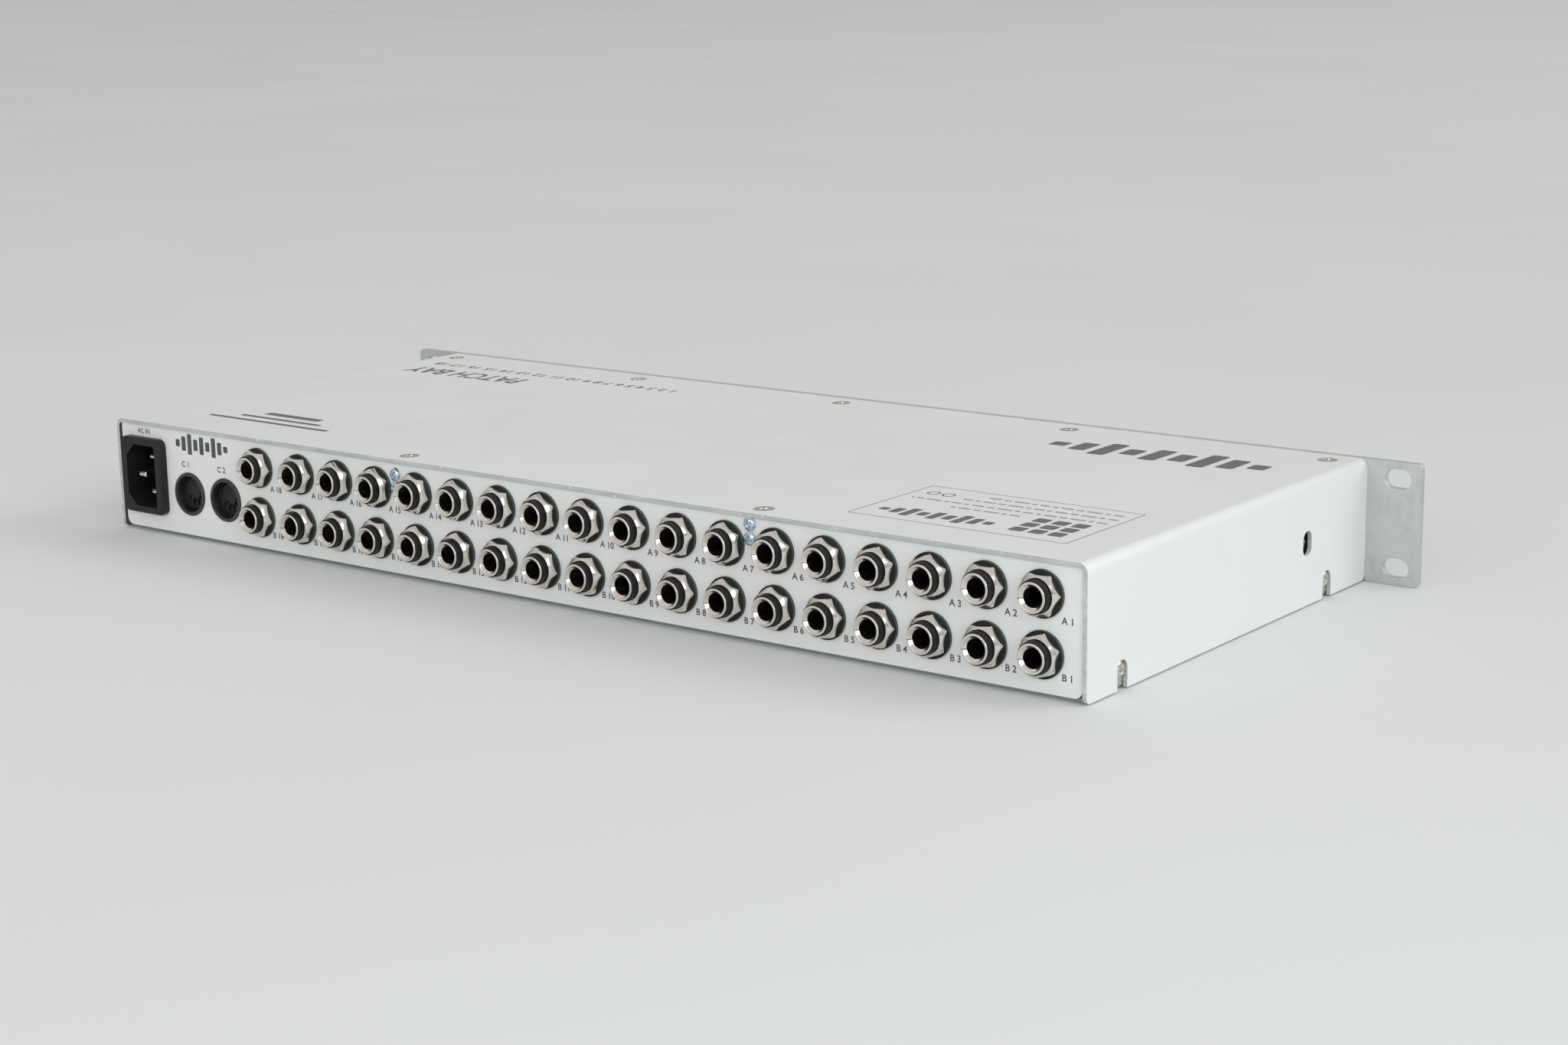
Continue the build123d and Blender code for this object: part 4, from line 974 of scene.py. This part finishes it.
def add_front_print(materials):
    y = PANEL_FACE - INK_LIFT
    parts = []
    buttons = sorted(name for name in frame["nodes"] if name.startswith("loop_button"))
    for index, name in enumerate(buttons):
        place = Vector((middle(name).x, y, BUTTON_LABEL_Z))
        parts.append(text_mesh(str(index + 1), 2.2 * MM, place, FRONT_READING))
    for name, sign in (("down_button", "-"), ("up_button", "+"), ("store_button", "=")):
        place = Vector((middle(name).x, y, BUTTON_LABEL_Z))
        parts.append(text_mesh(sign, 2.6 * MM, place, FRONT_READING))
    rocker = middle("power_rocker")
    on_place, off_place = (Vector((rocker.x, y, z * MM)) for z in (36.6, 7.4))
    parts.append(bar(0, 0, 0.5 * MM, 2.4 * MM, on_place, FRONT_READING))
    parts.append(hoop(0, 0, 1.3 * MM, 0.4 * MM, off_place, FRONT_READING))
    window = middle("display_window")
    parts += level_mark(26.0 * MM, 5.5 * MM, Vector((window.x, y, 35.6 * MM)), FRONT_READING)
    new_piece("front_print", *joined(parts), materials["ink"])


# ---- finish of the CAD nodes -----------------------------------------------------------------
CAD_FINISH = {
    "top_cover": "white_coat",
    "rear_panel": "rear_coat",
    "din_socket_bodies": "din_rim",
    "din_inserts": "din_face",
}
# Edge roundings in mm
EDGE_ROUNDING = {
    "top_cover": 0.18,
    "rear_panel": 0.15,
    "front_panel": 0.2,
    "base_tray": 0.15,
    "iec_inlet_body": 0.25,
    "iec_pins": 0.15,
    "din_socket_bodies": 0.15,
    "din_inserts": 0.12,
    "rocker_housing": 0.25,
    "power_rocker": 0.3,
    "display_window": 0.2,
    "button_leds": 0.05,
    "relays": 0.3,
    "side_brackets": 0.12,
}
BUTTON_ROUNDING = 0.2
WELD_DISTANCE = 0.002 * MM


def finish_cad(materials):
    slots = {row["node"]: row["material_slot"] for row in frame["record"]["subparts"]}
    for name, node in frame["nodes"].items():
        material = materials[CAD_FINISH.get(name, slots[name])]
        node.data.materials.clear()
        node.data.materials.append(material)
        rounding = BUTTON_ROUNDING if "_button" in name else EDGE_ROUNDING.get(name)
        if rounding is None:
            continue
        weld = node.modifiers.new("weld", "WELD")
        weld.merge_threshold = WELD_DISTANCE
        bevel = node.modifiers.new("edge_rounding", "BEVEL")
        bevel.width = rounding * MM
        bevel.segments = 3
        bevel.limit_method = "ANGLE"
        bevel.angle_limit = math.radians(40)
        bevel.harden_normals = False
        bevel.use_clamp_overlap = True


# ---- stage -----------------------------------------------------------------------------------
FLOOR_RADIUS = 14.0
FLOOR_DROP = 0.1 * MM
WALL_LIGHT = 0.32
CEILING_LIGHT = 0.66


def add_floor():
    loft = Loft(96)
    loft.ring(FLOOR_RADIUS, 0.0)
    vertices = [(x, z, -FLOOR_DROP) for x, _, z in loft.vertices]
    mesh = bpy.data.meshes.new("floor")
    mesh.from_pydata(vertices, [], [tuple(range(len(vertices)))])
    shader = Shader("floor_paper", (0.78, 0.785, 0.775), 0.8)
    tone = shader.ranged(shader.noise(2.5, 3.0), 0.3, 0.7, 0.0, 1.0)
    shader.color(shader.mixed(tone, (0.76, 0.763, 0.755), (0.79, 0.793, 0.785)))
    mesh.materials.append(shader.material)
    floor = bpy.data.objects.new("floor", mesh)
    bpy.context.scene.collection.objects.link(floor)


def add_area(name, place, aim, size, power, color):
    data = bpy.data.lights.new(name, "AREA")
    data.shape = "RECTANGLE"
    data.size, data.size_y = size
    data.energy = power
    data.color = color
    light = bpy.data.objects.new(name, data)
    light.visible_camera = False
    bpy.context.scene.collection.objects.link(light)
    turn = (Vector(aim) - Vector(place)).to_track_quat("-Z", "Y").to_matrix().to_4x4()
    light.matrix_world = Matrix.Translation(place) @ turn


def shade_room(tree, background):
    """A room bright overhead and dim round its walls, so that metal has something to reflect."""
    places = tree.nodes.new("ShaderNodeTexCoord")
    split = tree.nodes.new("ShaderNodeSeparateXYZ")
    height = tree.nodes.new("ShaderNodeMapRange")
    tree.links.new(places.outputs["Generated"], split.inputs["Vector"])
    tree.links.new(split.outputs["Z"], height.inputs["Value"])
    height.inputs["From Min"].default_value = 0.12
    height.inputs["From Max"].default_value = 0.62
    height.inputs["To Min"].default_value = WALL_LIGHT
    height.inputs["To Max"].default_value = CEILING_LIGHT
    tree.links.new(height.outputs["Result"], background.inputs["Strength"])


def add_lights():
    world = bpy.data.worlds.new("studio")
    bpy.context.scene.world = world
    world.use_nodes = True
    background = world.node_tree.nodes["Background"]
    background.inputs["Color"].default_value = (1.0, 0.995, 0.985, 1.0)
    shade_room(world.node_tree, background)
    cool = (0.90, 0.95, 1.0)
    add_area("near_window", (-1.45, 0.80, 0.55), (-0.25, 0.15, 0.0), (0.9, 0.7), 7.5, cool)
    add_area("far_window", (-6.5, -4.5, 4.5), (-3.0, -2.6, 0.0), (5.0, 4.0), 210.0, cool)
    add_area("room_window", (-0.2, 2.6, 0.9), (0.0, 0.1, 0.0), (2.6, 0.9), 18.0, cool)
    bpy.context.scene.view_settings.view_transform = "Standard"


# ---- build -----------------------------------------------------------------------------------
add_camera()
MATERIALS = make_materials()
finish_cad(MATERIALS)
add_jacks(MATERIALS)
add_screws(MATERIALS)
add_din_shields(MATERIALS)
add_rear_print(MATERIALS)
add_top_print(MATERIALS)
add_front_print(MATERIALS)
add_display_digits(MATERIALS)
add_floor()
add_lights()
